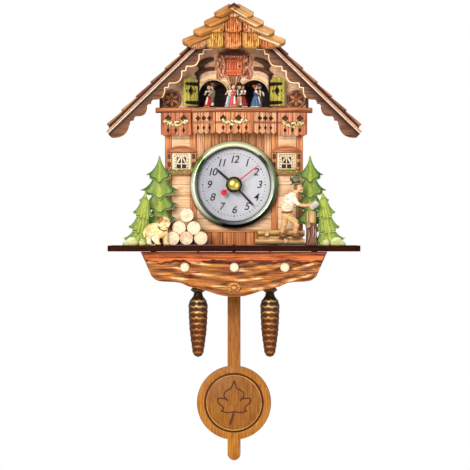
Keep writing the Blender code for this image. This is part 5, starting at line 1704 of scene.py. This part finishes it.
def add_shirt(man, y):
    """A bare forearm, a leaning shirt with one sleeve, and its creases."""
    forearm = [(47.4, y - 2.0, -76.8), (49.6, y - 1.9, -77.5), (52.6, y - 1.6, -77.7),
               (55.0, y - 1.2, -77.5)]
    man.add(limb(forearm, [1.2, 1.4, 1.25, 1.0]), srgb(228, 180, 132))
    shirt = [
        sweep([(39.2, y, -83.0), (39.4, y, -77), (42.0, y, -71.2)], [4.3, 4.9, 4.2], 16, 0.68),
        ball((43.0, y, -70.6), (3.5, 2.8, 3.0), 16, 10),
        limb([(43.4, y - 1.5, -71.0), (46.0, y - 2.0, -75.4), (48.0, y - 2.0, -77.2)], [2.2, 1.8, 1.5]),
    ]
    man.add(melt(shirt, 0.32, 5), fade(srgb(250, 242, 222), srgb(226, 208, 176), UP, -72, -85))
    for step in range(4):
        z = -73.4 - step * 2.4
        crease = [(36.2 + 0.3 * step, y - 2.7, z + 1.0), (39.2, y - 3.35, z), (42.4, y - 2.5, z + 0.6)]
        man.add(sweep(crease, [0.2, 0.4, 0.2], 6), srgb(236, 222, 196))


def add_trousers(man, y):
    """Trousers with one knee bent, a belt, and shoes on flat soles."""
    trousers = [
        ball((39.0, y, -84.4), (4.4, 3.1, 3.6), 18, 12),
        limb([(38.4, y + 1.1, -85.5), (37.0, y + 1.1, -92.5), (35.4, y + 1.1, -98.0)], [3.0, 2.3, 1.8]),
        limb([(40.2, y - 1.1, -85.5), (46.4, y - 1.2, -91.0)], [3.0, 2.4]),
        limb([(46.4, y - 1.2, -91.0), (44.9, y - 1.2, -98.6)], [2.4, 1.8]),
    ]
    man.add(melt(trousers, 0.32, 6), fade(srgb(226, 188, 132), srgb(206, 160, 106), UP, -84, -98))
    man.add(sweep([(35.2, y - 2.0, -82.6), (39.0, y - 3.3, -83.2), (43.2, y - 2.2, -82.2)], 0.7),
            srgb(140, 90, 52))
    for x, foot_y in ((35.0, y + 1.1), (44.9, y - 1.2)):
        shoe = [ball((x + 1.2, foot_y, -100.2), (3.1, 1.7, 1.6), 14, 8),
                limb([(x, foot_y, -97.6), (x, foot_y, -100.0)], 1.7)]
        man.add(melt(shoe, 0.3, 4), srgb(140, 92, 52))
        man.add(slab(x - 2.0, x + 4.2, foot_y - 1.6, foot_y + 1.6, -102.2, -101.2), srgb(76, 50, 34))


def add_head(man, y):
    """Head, neck, nose and chin in one skin, with hair, an eye and a mouth."""
    head = [ball((48.0, y, -64.6), (2.8, 2.5, 3.2), 18, 12),
            limb([(44.4, y, -69.0), (47.2, y, -66.0)], [1.9, 1.6]),
            ball((50.6, y, -65.2), (0.8, 0.7, 0.8), 10, 6), ball((49.6, y, -67.2), (1.4, 1.3, 1.2), 10, 6)]
    man.add(melt(head, 0.28, 4), srgb(236, 190, 146))
    man.add(ball((46.4, y, -64.4), (2.3, 2.35, 2.8)), srgb(150, 104, 60))
    man.add(ball((49.4, y - 2.0, -64.0), (0.35, 0.3, 0.4), 8, 5), BLACK)
    man.add(sweep([(50.2, y - 1.3, -66.5), (49.2, y - 2.0, -66.6)], 0.2, 6), srgb(170, 80, 62))


def add_hat(man, y):
    """A brimmed hat, tipped back, with a dark band and a feather."""
    place = axes((46.2, y, -61.6), (0.98, 0, 0.17), (0, 1, 0), (-0.17, 0, 0.98))
    crown = [(0, -0.3), (4.9, -0.5), (5.2, 0.2), (3.3, 0.7), (2.9, 2.2), (2.5, 4.6), (1.4, 5.4), (0, 5.5)]
    band = [(2.8, 0.7), (3.5, 0.7), (3.2, 1.7), (2.8, 1.7), (2.8, 0.7)]
    for profile, tone in ((crown, srgb(118, 124, 92)), (band, srgb(66, 56, 40))):
        points, faces, _ = lathe(profile, 26)
        oval = [Vector((point.x, point.y * 0.62, point.z)) for point in points]
        man.add((oval, faces, None), tone, place)
    feather = [(43.6, y - 1.9, -61.0), (42.0, y - 2.0, -58.4), (41.8, y - 1.9, -56.4)]
    man.add(sweep(feather, [0.4, 0.9, 0.2], 8, 0.4), srgb(60, 60, 44))


def add_mallet(man, y):
    """Two hands on the handle of a mallet held over the billet."""
    hands = [ball((55.6, y - 1.0, -77.4), (1.7, 1.5, 1.5), 12, 8),
             ball((57.0, y + 0.4, -77.2), (1.4, 1.3, 1.3), 12, 8)]
    man.add(melt(hands, 0.28, 3), srgb(232, 186, 144))
    man.add(sweep([(54.6, y - 0.4, -78.4), (58.4, y - 0.4, -78.0)], 0.75), srgb(180, 136, 84))
    place = axes((56.6, y - 0.4, -79.4), (0.8, 0, 0.6), (0, 1, 0), (-0.6, 0, 0.8))
    head = [(0, -0.3), (2.0, -0.3), (2.4, 0.1), (2.45, 6.0), (2.1, 6.5), (0, 6.5)]
    man.add(lathe(head, 20), srgb(206, 200, 190), place @ Matrix.Rotation(math.pi / 2, 4, "Y"))


def build_woodcutter():
    """The man at the stump, leaning to the right over his work."""
    man = Shape(131)
    for add_part in (add_shirt, add_trousers, add_head, add_hat, add_mallet):
        add_part(man, MAN_Y)
    man.build("wood_chopper", "house", PAINTED, ["woodcutter"])


# ---------------------------------------------------------------- apron

APRON_FACE = -68.0
APRON_HALF = [(9.5, -144.6), (24, -140), (33.5, -138), (41, -135), (55, -134), (60.5, -131), (63.1, -126),
              (69.3, -112.1)]


def smooth_path(points, steps=4):
    """A gentle curve through a list of points."""
    result = []
    for index in range(len(points) - 1):
        before, start = points[max(index - 1, 0)], points[index]
        end, after = points[index + 1], points[min(index + 2, len(points) - 1)]
        for step in range(steps):
            t = step / steps
            result.append(tuple(0.5 * (2 * b + (c - a) * t + (2 * a - 5 * b + 4 * c - d) * t * t
                                       + (3 * b - a - 3 * c + d) * t ** 3)
                                for a, b, c, d in zip(before, start, end, after)))
    return result + [points[-1]]


def band_foot(x):
    """The wavy lower edge of the apron's upper band."""
    return -119.0 - 0.9 * math.cos(2 * math.pi * x / 27.0) - 0.4 * math.sin(x * 0.9)


def flow(x, z):
    """How high the carved waves of the apron stand, roughly between -1 and 1."""
    bend = 0.0028 * x * x
    first = math.sin(0.85 * (z - bend) + 1.7 * math.sin(0.055 * x + 0.6))
    second = math.sin(1.55 * (z - bend * 0.6) - 0.13 * x + 2.1 * math.sin(0.075 * x + 1.2))
    third = math.sin(0.31 * x + 0.7 * z)
    return 0.5 * first + 0.33 * second + 0.17 * third


def apron_relief(half):
    """A wavy carved sheet from the band down to the apron's lower edge."""
    def foot(x):
        x = abs(x)
        for (x0, z0), (x1, z1) in zip(half, half[1:]):
            if x0 <= x <= x1:
                return z0 + (z1 - z0) * (x - x0) / max(1e-6, x1 - x0)
        return half[-1][1]
    columns, rows = 150, 26
    points, faces = [], []
    for column in range(columns + 1):
        x = -66.2 + 132.4 * column / columns
        top, low = band_foot(x) + 1.2, foot(x) + 0.5
        for row in range(rows + 1):
            share = row / rows
            z = top + (min(low, top - 0.4) - top) * share
            edge = min(1.0, 6 * (1 - share), (66.4 - abs(x)) * 0.4)
            points.append(Vector((x, -68.1 - edge * (0.9 + 0.9 * flow(x, z)), z)))
    for column in range(columns):
        for row in range(rows):
            a = column * (rows + 1) + row
            faces.append([a, a + 1, a + rows + 2, a + rows + 1])
    return points, faces, None


def apron_tint(local, placed):
    """Painted shade in the hollows of the waves, golden up their sides and a pale painted highlight on their
    crests.
    """
    height = flow(placed.x, placed.z)
    if height > 0.55:
        return blend(srgb(220, 146, 66), srgb(250, 224, 176), min(1.0, (height - 0.55) / 0.25))
    return blend(srgb(112, 60, 24), srgb(214, 138, 58), min(1.0, max(0.0, (height + 0.75) / 1.25)))


def build_apron():
    """The carved board under the shelf: a smooth upper band, waves below it, and returns to the wall."""
    apron = Shape(141)
    half = smooth_path([(0, -145.4)] + APRON_HALF)
    outline = half + mirrored(half[:0:-1])
    body = fade(srgb(186, 112, 48), srgb(212, 146, 80), UP, -121, -140)
    apron.add(plate(outline, APRON_FACE, -62.2, edge=0.7), body)
    reach = 65.4
    lower = [(x, band_foot(x)) for x in [-reach + 2 * reach * k / 80 for k in range(81)]]
    band = [(-68.6, -112.3)] + lower + [(68.6, -112.3)]
    apron.add(plate(band, -70.0, -67.6, edge=0.6),
              fade(srgb(232, 130, 62), srgb(214, 112, 54), UP, -113, -120))
    # A dark bar under the band's wavy edge: painted shadow of the band.
    apron.add(sweep([(x, -68.6, z - 0.8) for x, z in lower], 0.9), srgb(96, 50, 24))
    apron.add(apron_relief(half), apron_tint)
    for side in (-1, 1):
        low, high = reach_of(side, 59.5, 62.5)
        apron.add(slab(low, high, -63, -3, -124, -112.1), srgb(176, 104, 56), axis="Y")
    apron.build("apron_carving", "house", APRON, ["base_apron"])


def build_apron_pegs():
    """Three cream pegs in dark rings on the apron, and the stepped boss at its foot."""
    knobs = Shape(142)
    peg = [(0, 0), (3.5, 0), (3.5, 2.2), (3.3, 3.2), (2.6, 4.0), (0, 4.2)]
    ring = [(3.4, 0.0), (4.4, 0.0), (4.2, 0.7), (3.4, 0.8), (3.4, 0.0)]
    for x in (-36.5, 0.2, 37.7):
        knobs.add(lathe(peg, 28), srgb(252, 232, 204), turned_to_front(x, APRON_FACE + 0.1, -123.6),
                  axis="Z")
        knobs.add(lathe(ring, 28), srgb(140, 84, 44), turned_to_front(x, APRON_FACE, -123.6), axis="Z")
    knobs.build("apron_pegs", "house", CREAM_WOOD)
    boss = Shape(143)
    place = turned_to_front(0, APRON_FACE, -138.6)
    for scale, lift, tone in ((1.0, 0.0, srgb(176, 116, 62)), (0.8, 0.9, srgb(214, 154, 92)),
                              (0.58, 1.6, srgb(170, 108, 56)), (0.36, 2.1, srgb(226, 172, 110))):
        boss.add(ball((0, 0, lift * 0.6), (6.6 * scale, 5.3 * scale, 2.2), 26, 10), tone, place)
    boss.build("apron_boss", "house", APRON)


# ---------------------------------------------------------------- dial

RING_TONES = [
    (0, srgb(20, 34, 22), srgb(96, 120, 84), srgb(250, 252, 242)),
    (35, srgb(70, 76, 56), srgb(150, 160, 122), srgb(24, 36, 20)),
    (60, srgb(196, 182, 150), srgb(240, 246, 204), srgb(40, 56, 30)),
    (90, srgb(204, 192, 160), srgb(250, 254, 214), srgb(30, 46, 22)),
    (125, srgb(196, 186, 146), srgb(232, 242, 190), srgb(36, 56, 24)),
    (142, srgb(120, 130, 90), srgb(84, 122, 48), srgb(22, 40, 14)),
    (160, srgb(60, 84, 46), srgb(170, 190, 140), srgb(60, 90, 40)),
    (180, srgb(90, 104, 70), srgb(252, 250, 236), srgb(150, 164, 130)),
    (215, srgb(96, 112, 84), srgb(250, 248, 232), srgb(120, 136, 106)),
    (238, srgb(40, 60, 36), srgb(120, 136, 104), srgb(24, 36, 26)),
    (255, srgb(10, 12, 10), srgb(6, 8, 10), srgb(90, 92, 96)),
    (285, srgb(8, 10, 8), srgb(6, 8, 10), srgb(150, 152, 156)),
    (310, srgb(18, 24, 18), srgb(30, 44, 30), srgb(230, 236, 224)),
    (335, srgb(22, 32, 22), srgb(60, 78, 54), srgb(250, 252, 244)),
    (360, srgb(20, 34, 22), srgb(96, 120, 84), srgb(250, 252, 242)),
]


def ring_tint(local, placed):
    """The light and dark of a room, laid round the plated ring in three bands."""
    angle = math.degrees(math.atan2(placed.z - DIAL_Z, placed.x - DIAL_X)) % 360
    reach = math.hypot(placed.z - DIAL_Z, placed.x - DIAL_X)
    for before, after in zip(RING_TONES, RING_TONES[1:]):
        if before[0] <= angle <= after[0]:
            share = (angle - before[0]) / (after[0] - before[0])
            rim, band, inner = [blend(a, b, share) for a, b in zip(before[1:], after[1:])]
    if reach > 32.2:
        return rim
    return band if reach > (28.3 if 50 < angle < 138 else 29.4) else inner


DISC_FACE = -49.1


def on_dial(angle, radius, y):
    """A placement on the dial at a clock bearing in degrees."""
    turn = math.radians(angle)
    return turned_to_front(DIAL_X + radius * math.sin(turn), y, DIAL_Z + radius * math.cos(turn))


def numeral(hour):
    """One of the slanted numbers of the dial."""
    text = bpy.data.curves.new("numeral", "FONT")
    text.body = str(hour)
    text.size = 7.9
    text.shear = 0.25
    text.align_x = "CENTER"
    text.align_y = "CENTER"
    text.offset = 0.08
    text.space_character = 0.82
    text.extrude = 0.05
    return taken(set_out("work", text))


def build_dial():
    """The silver disc with its minute dots and numbers."""
    dial = Shape(151)
    radius, thick = 31.5, 0.8
    rings = [(0, 0), (radius, 0)] + [(radius * (1 - k / 14), thick) for k in range(14)] + [(0, thick)]
    silver = fade(srgb(150, 150, 162), srgb(186, 187, 192), ACROSS, DIAL_X - 24, DIAL_X + 24)
    dial.add(lathe(rings, 72), silver, turned_to_front(DIAL_X, -48.3, DIAL_Z))
    dial.build("dial_disc", "house", DIAL_LOOK, ["dial_plate"])
    marks = Shape(152)
    for minute in range(60):
        size = 0.55 if minute % 5 == 0 else 0.34
        marks.add(disc(size, 0, 0.08, 12), BLACK, on_dial(6 * minute, 23.5, DISC_FACE + 0.02))
    for hour in range(1, 13):
        marks.add(numeral(hour), BLACK, on_dial(30 * hour, 18.9, DISC_FACE - 0.05))
    marks.build("dial_print", "house", INK, smooth=30)


BEZEL = [(33.0, 48.3), (33.0, 52.6), (32.7, 54.4), (32.0, 56.0), (31.0, 57.2), (30.0, 57.7), (29.3, 57.5),
         (28.7, 56.6), (28.2, 55.4), (27.9, 54.0), (27.7, 52.0), (27.6, 49.4), (31.8, 49.4), (31.8, 48.3),
         (33.0, 48.3)]
GASKET = [(27.0, 49.3), (27.75, 49.3), (28.0, 53.6), (27.3, 53.4), (27.0, 49.3)]
DOME_R, DOME_TOP, DOME_THICK, DOME_RISE = 27.6, 62.2, 1.1, 5.2


def build_bezel():
    """The rounded ring, its dark gasket and the clear dome over the dial."""
    centre = turned_to_front(DIAL_X, 0, DIAL_Z)
    ring = Shape(153)
    ring.add(lathe(BEZEL, 120), ring_tint, centre)
    ring.build("bezel_ring", "house", CHROME, ["bezel"], smooth=60)
    inner = Shape(154)
    inner.add(lathe(GASKET, 96), srgb(58, 66, 48), centre)
    inner.build("bezel_gasket", "house", INK, smooth=60)
    glass = Shape(155)
    outer = [(DOME_R * step / 8, DOME_TOP - DOME_RISE * (step / 8) ** 2) for step in range(9)]
    under = [(reach, height - DOME_THICK) for reach, height in outer[::-1]]
    glass.add(lathe(outer + under, 72), WHITE, centre)
    glass.build("glass_dome", "house", GLASS, ["lens"], smooth=60)


def hand(name, body, look, tone, length, y, thick, angle, half, tail, replaced, spot=0.0):
    """A straight hand with a short point, a round hub and, where spot is given, a disc on its tail."""
    part = Shape(161)
    outline = [(-half, -tail), (half, -tail), (half, length * 0.9), (0.25, length), (-0.25, length),
               (-half, length * 0.9)]
    centre = Matrix.Translation((DIAL_X, 0, DIAL_Z))
    place = centre @ Matrix.Rotation(math.radians(angle), 4, "Y")
    part.add(plate(outline, y, y + thick, edge=0.12), tone, place, axis="Z")
    hub = [(0, -y - thick), (2.4, -y - thick), (2.4, -y - 0.1), (2.2, -y), (0, -y)]
    part.add(lathe(hub), tone, centre @ FACING)
    if spot:
        part.add(disc(2.3, -y - thick, -y), tone, place @ Matrix.Translation((0, 0, -spot)) @ FACING)
    part.build(name, body, look, [replaced], smooth=30)


def build_hands():
    """Three hands, and the brass dome in a black collar over their hub."""
    hand("hour_pointer", "hour_arbor", INK, BLACK, 17.7, -53.2, 0.6, 311.6, 0.85, 4.0,
         "hour_hand")
    hand("minute_pointer", "minute_arbor", INK, BLACK, 21.4, -54.8, 0.6, 137.1, 0.8, 4.0,
         "minute_hand")
    hand("second_pointer", "second_arbor", RED, srgb(196, 26, 52), 23.3, -56.2, 0.4, 51.8, 0.46,
         9.0,
         "second_hand", spot=9.6)
    cap = Shape(165)
    place = turned_to_front(DIAL_X, 0, DIAL_Z)
    cap.add(lathe([(0, 56.5), (6.0, 56.5), (6.0, 57.0), (5.6, 57.5), (4.7, 57.6), (0, 57.6)], 40), BLACK,
            place)
    cap.build("cap_collar", "second_arbor", INK, ["centre_cap"], smooth=50)
    dome = Shape(166)
    profile = [(0, 57.2), (4.8, 57.2)]
    for angle in range(10, 90, 10):
        profile.append((4.8 * math.cos(math.radians(angle)), 57.2 + 2.0 * math.sin(math.radians(angle))))
    dome.add(lathe(profile + [(0, 59.2)], 40), srgb(220, 180, 90), place)
    dome.build("cap_dome", "second_arbor", BRASS, smooth=60)


# ---------------------------------------------------------------- cones

CONE_Y = -45.0
CONE_TOP, CONE_TIP = -143.0, -191.5
CONE_GIRTH = [(CONE_TOP, 3.1), (-145.7, 3.8), (-148.8, 6.1), (-151.9, 7.2), (-156.5, 7.1), (-164.2, 6.8),
              (-171.9, 6.3),
              (-179.6, 5.3), (-187.3, 4.2), (-190.4, 2.9), (CONE_TIP, 0.0)]
SCALE_ROW = 4.3
SCALES_ROUND = 9


def cone_radius(z):
    """The cone's girth at a height."""
    for (high, first), (low, second) in zip(CONE_GIRTH, CONE_GIRTH[1:]):
        if low <= z <= high:
            return first + (second - first) * (high - z) / (high - low)
    return 0.0


def scale_ridge(angle, z):
    """How near a place on the cone is to the raised lip of a scale, from 0 to 1."""
    row = (-146.5 - z) / SCALE_ROW
    if row < 0 or z < -189.0:
        return 0.0
    across = (angle / (2 * math.pi) * SCALES_ROUND + 0.5 * (int(row) % 2)) % 1.0 * 2 - 1
    lip = 0.66 - 0.16 * across * across
    return math.exp(-(((row % 1.0) - lip) / 0.14) ** 2)


def scaled_body():
    """A slim cone swelling from a narrow neck, its scales in low relief."""
    points, faces = [], []
    around, rows = 96, 120
    for row in range(rows + 1):
        z = CONE_TOP + (CONE_TIP - CONE_TOP) * row / rows
        for step in range(around):
            angle = 2 * math.pi * step / around
            reach = max(0.02, cone_radius(z) - 0.05 + 0.3 * scale_ridge(angle, z))
            points.append(Vector((reach * math.cos(angle), reach * math.sin(angle), z)))
    for row in range(rows):
        upper, lower = row * around, (row + 1) * around
        for step in range(around):
            after = (step + 1) % around
            faces.append([upper + step, lower + step, lower + after, upper + after])
    faces.append(list(range(around)))
    faces.append([rows * around + step for step in reversed(range(around))])
    return points, faces, None


def cone_tint(local, placed):
    """Dark hollows and golden lips, the lips partly worn bronze and partly a painted highlight, brightest at
    the front and near the shoulder.
    """
    lip = scale_ridge(math.atan2(local.y, local.x), local.z)
    front = max(0.0, -local.y / max(1.0, math.hypot(local.x, local.y))) ** 4
    high = blend(srgb(186, 118, 58), srgb(232, 190, 120), max(0.0, min(1.0, (local.z + 168) / 14)))
    dark = blend(srgb(88, 46, 18), srgb(64, 46, 32), max(0.0, min(1.0, (local.z + 160) / 10)))
    return blend(dark, high, lip * (0.12 + 0.88 * front))


def build_cone(side, name):
    """A cast pine cone under a turned collar, hung by a ring."""
    x = side * 27.0
    cone = Shape(171 + side)
    centre = Matrix.Translation((x, CONE_Y, 0))
    cone.add(sweep(at_depth(arc((x, -120), 2.3, 0, 360, 24), CONE_Y), 0.9, 10), srgb(120, 92, 60))
    stem = [(0, -122.4), (0.9, -122.4), (0.9, -136.4), (1.6, -137.0), (3.4, -137.8), (3.7, -138.8),
            (4.4, -139.3),
            (5.5, -140.4), (5.5, -141.4), (4.0, -142.4), (3.1, -143.2), (0, -143.4)]
    cone.add(lathe(stem, 36), fade(srgb(150, 122, 88), srgb(60, 42, 28), UP, -138.0, -142.0), centre)
    cone.add(scaled_body(), cone_tint, centre)
    cone.build("pine_cone_" + name, name + "_cone", BRONZE, ["cone_" + name], smooth=60)


# ---------------------------------------------------------------- pendulum

LEAF = [(-0.2, 16.2), (-1.7, 12.4), (-2.5, 10.8), (-6.4, 8.7), (-7.6, 6.6), (-7.2, 4.2), (-4.8, 1.6),
        (-6.4, 2.9),
        (-11.7, 3.4), (-12.5, 1.8), (-11.9, -0.3), (-8.8, -2.9), (-8.3, -5.0), (-9.6, -6.3), (-8.0, -6.8),
        (-4.8, -7.6),
        (-0.4, -6.8)]
BOB_R, ROD_HALF = 28.3, 4.95
PEND_LOW, PEND_HIGH = span("pendulum_board")


def pendulum_outline():
    """The board in one piece: rod, round bob and rounded tail."""
    top, tail = PEND_HIGH.z, PEND_LOW.z
    neck = math.degrees(math.asin(ROD_HALF / BOB_R))
    right = arc((0, BOB_Z), BOB_R, 90 - neck, -90 + neck, 60)
    foot = arc((0, tail + ROD_HALF), ROD_HALF, 0, -180, 16)
    left = arc((0, BOB_Z), BOB_R, 270 - neck, 90 + neck, 60)
    return [(-ROD_HALF + 0.8, top), (ROD_HALF - 0.8, top), (ROD_HALF, top - 0.8), *right, *foot, *left,
            (-ROD_HALF, top - 0.8)]


def build_pendulum():
    """A board with a raised face and a raised disc, inlaid with a ring, a bead and a leaf."""
    front, back = PEND_LOW.y, PEND_HIGH.y
    centre = (0, BOB_Z)
    blank = Shape(181)
    hole = circle((0, -120.0), 1.3, 16)
    outline = pendulum_outline()
    tone = fade(srgb(164, 104, 24), srgb(186, 128, 40), UP, -190, -215)
    blank.add(plate(outline, front + 0.7, back, [hole], edge=0.3), srgb(150, 88, 38), axis="Z")
    inner = [(x * 0.985, z) for x, z in outline]
    blank.add(plate(inner, front, front + 0.9, [hole, circle(centre, 22.6, 72)], edge=0.4), tone, axis="Z")
    blank.add(plate(circle(centre, 21.5, 72), front, front + 0.9, edge=0.35), srgb(160, 106, 30), axis="Z")
    blank.build("pendulum_blank", "pendulum", ROD, ["pendulum_board"], smooth=40)
    inlay = Shape(182)
    inlay.add(sweep(at_depth(arc(centre, 21.9, 0, 360, 96), front + 0.25), 0.42, 6), srgb(84, 44, 22))
    whole = LEAF + mirrored(LEAF[::-1])
    leaf = [(x, BOB_Z + z) for x, z in smooth_path(whole + whole[:1], 3)]
    inlay.add(sweep(at_depth(leaf, front - 0.02), 0.42, 6), srgb(88, 44, 16))
    stalk = [(x, BOB_Z + z) for x, z in smooth_path([(-0.4, -7.0), (-1.0, -10.5), (-2.2, -14.0),
                                                     (-3.0, -16.8)])]
    inlay.add(plate(ribbon(stalk, 0.9), front - 0.2, front + 0.2, edge=0.1), srgb(104, 52, 20))
    inlay.add(sweep(at_depth(arc(centre, 20.9, 0, 360, 96), front - 0.02), 0.3, 6), srgb(232, 176, 96))
    inlay.build("pendulum_inlay", "pendulum", ROD, smooth=40)


# ---------------------------------------------------------------- what is carried over from the CAD

def carry_over():
    """Finishes and softened edges for the CAD parts that keep their own shape."""
    black = plastic("black plastic", srgb(34, 34, 36))
    nylon = plastic("white nylon", srgb(232, 230, 222), 0.4)
    sleeve = plastic("cell sleeve", srgb(60, 96, 140), 0.3)
    shelf_wood = wood("shelf board", 0.5, streak=srgb(140, 96, 70), contrast=(0.34, 0.52), coat=0.0,
                      carried=(SHELF_BROWN, "X"))
    shelf_wood.node_tree.nodes["Principled BSDF"].inputs["Specular IOR Level"].default_value = 0.04
    back = wood("back boards", 0.6, streak=srgb(160, 116, 80), carried=(srgb(206, 164, 112), "Z"))
    wall = wood("side boards", 0.5, streak=srgb(160, 106, 70), carried=(srgb(214, 154, 98), "Z"))
    floor = wood("balcony boards", 0.55, streak=srgb(150, 104, 72), carried=(srgb(150, 98, 60), "X"))
    finishes = (
        (shelf_wood, "shelf"), (back, "back_board"), (wall, "side_wall_left side_wall_right"),
        (floor, "balcony_floor dance_platform"), (sleeve, "battery_cell"), (COPPER, "drive_coil"),
        (black, "carousel_motor movement_case movement_cover setting_knob"),
        (nylon, "hour_wheel centre_wheel second_wheel setting_wheel"),
        (STEEL, "hanger_plate pendulum_hanger drive_magnet"),
        (BRASS, "fixing_nut cone_hook_left cone_hook_right"),
    )
    for look, names in finishes:
        for name in names.split():
            part = bpy.data.objects[name]
            for slot in part.material_slots:
                slot.material = look
            if not part.material_slots:
                part.data.materials.append(look)
            soften_edges(part, 0.8 if name == "shelf" else 0.2, 50)


def dial_silver():
    """Brushed silver paint on the dial, faintly mottled."""
    return mottled("dial silver", 0.42, 0.35, 0.25, 3.0, 0.6, 1.04)


def clear_glass():
    """A thin clear dome: nearly see-through, with a soft shine."""
    look, tree, shader = new_look("crystal", 0.04)
    shader.inputs["Base Color"].default_value = (1, 1, 1, 1)
    edge = node(tree, "ShaderNodeLayerWeight", {"Blend": 0.25}).outputs["Facing"]
    shader.inputs["Specular IOR Level"].default_value = 0.6
    tree.links.new(ramp(tree, edge, [(0.0, grey(0.0)), (0.5, grey(0.02)), (1.0, grey(0.3))]),
                   shader.inputs["Alpha"])
    return look


DIAL_LOOK = dial_silver()
GLASS = clear_glass()
RED = paint("red lacquer", 0.35, carving=0.05, low=srgb(240, 230, 230))


# ---------------------------------------------------------------- studio

def aim(thing, target):
    """Turns a light or the camera towards a point."""
    thing.rotation_euler = (Vector(target) - thing.location).to_track_quat("-Z", "Y").to_euler()


def lamp(name, place, target, size, power, colour=(1, 1, 1)):
    """A round soft light turned towards a point."""
    light = bpy.data.lights.new(name, "AREA")
    light.shape = "DISK"
    light.size = size
    light.energy = power
    light.color = colour
    made = set_out(name, light)
    made.location = place
    aim(made, target)


EYE_X, EYE_Z, EYE_BACK, EYE_WIDTH = 0.00075, -0.09965, 1.75, 0.3525


def light_up():
    """A white surround that lights softly, a key and a fill in front, and a light behind."""
    world = bpy.data.worlds.new("studio")
    bpy.context.scene.world = world
    world.use_nodes = True
    tree = world.node_tree
    seen = node(tree, "ShaderNodeLightPath").outputs["Is Camera Ray"]
    surround = ramp(tree, seen, [(0.0, grey(0.5)), (1.0, grey(1.0))])
    tree.links.new(surround, tree.nodes["Background"].inputs["Color"])
    centre = Vector((0.0, -0.05, -0.1))
    lamp("key", centre + Vector((-0.45, -1.3, 0.42)), centre, 0.6, 16.5, srgb(255, 250, 242))
    lamp("fill", centre + Vector((0.7, -1.4, -0.1)), centre, 1.0, 5.5, srgb(252, 250, 255))
    lamp("back light", centre + Vector((0.5, 0.9, 0.9)), centre, 0.8, 8.0)


def build_studio():
    """The lights, a pale round floor under the pendulum, and the camera straight in front."""
    light_up()
    look, tree, shader = new_look("pale floor", 0.8)
    cloud = noise(tree, node(tree, "ShaderNodeTexCoord").outputs["Object"], 3.0, 2.0)
    tone = ramp(tree, cloud, [(0.3, srgb(240, 238, 234)), (0.7, srgb(248, 246, 242))])
    tree.links.new(tone, shader.inputs["Base Color"])
    points, faces, _ = disc(700, -366, -362, 64)
    mesh = bpy.data.meshes.new("floor")
    mesh.from_pydata([point * MM for point in points], [], faces)
    mesh.materials.append(look)
    stand = set_out("floor", mesh)
    eye = bpy.data.cameras.new("camera")
    made = set_out("camera", eye)
    eye.lens = eye.sensor_width * (EYE_BACK - 0.05) / EYE_WIDTH
    made.location = (EYE_X, -EYE_BACK, EYE_Z)
    aim(made, (EYE_X, 0, EYE_Z))
    bpy.context.scene.camera = made
    bpy.context.scene.view_settings.view_transform = "Standard"


def build_all():
    """Every piece of the clock, then its stage."""
    for side, name in ((-1, "left"), (1, "right")):
        build_roof(side, "roof_" + name)
        build_barge(side, name)
        build_shutter(side, name)
        build_window(side, name)
        build_cone(side, name)
    build_hip()
    build_plaster()
    build_arch_trim()
    build_surround()
    build_timbers()
    build_gable_carvings()
    build_loft()
    build_cuckoo_door()
    build_balustrades()
    build_garlands()
    build_dancers()
    build_front()
    build_panels()
    build_tall_tree("left_tall", -55.6, -56.7, 0.22,
                    [(-54.4, 10.2), (-66.0, 14.6), (-76.8, 14.2), (-87.4, 13)], -40.5)
    build_tall_tree("right_tall", 56.9, -56.7, 0.24,
                    [(-54.4, 10.2), (-66.0, 12.4), (-76.8, 12.4), (-87.4, 11.8)], -40.5)
    for side, name, x in ((-1, "left_short", -73.2), (1, "right_short", 73.4)):
        build_short_tree(name, side, x, -65.3, [(-74.3, 3.4), (-84, 6.6), (-95.2, 8), (-104.2, 10.4)], -66)
    build_pile()
    build_felled()
    build_stump()
    build_dog()
    build_woodcutter()
    build_apron()
    build_apron_pegs()
    build_dial()
    build_bezel()
    build_hands()
    build_pendulum()
    carry_over()
    build_studio()


build_all()
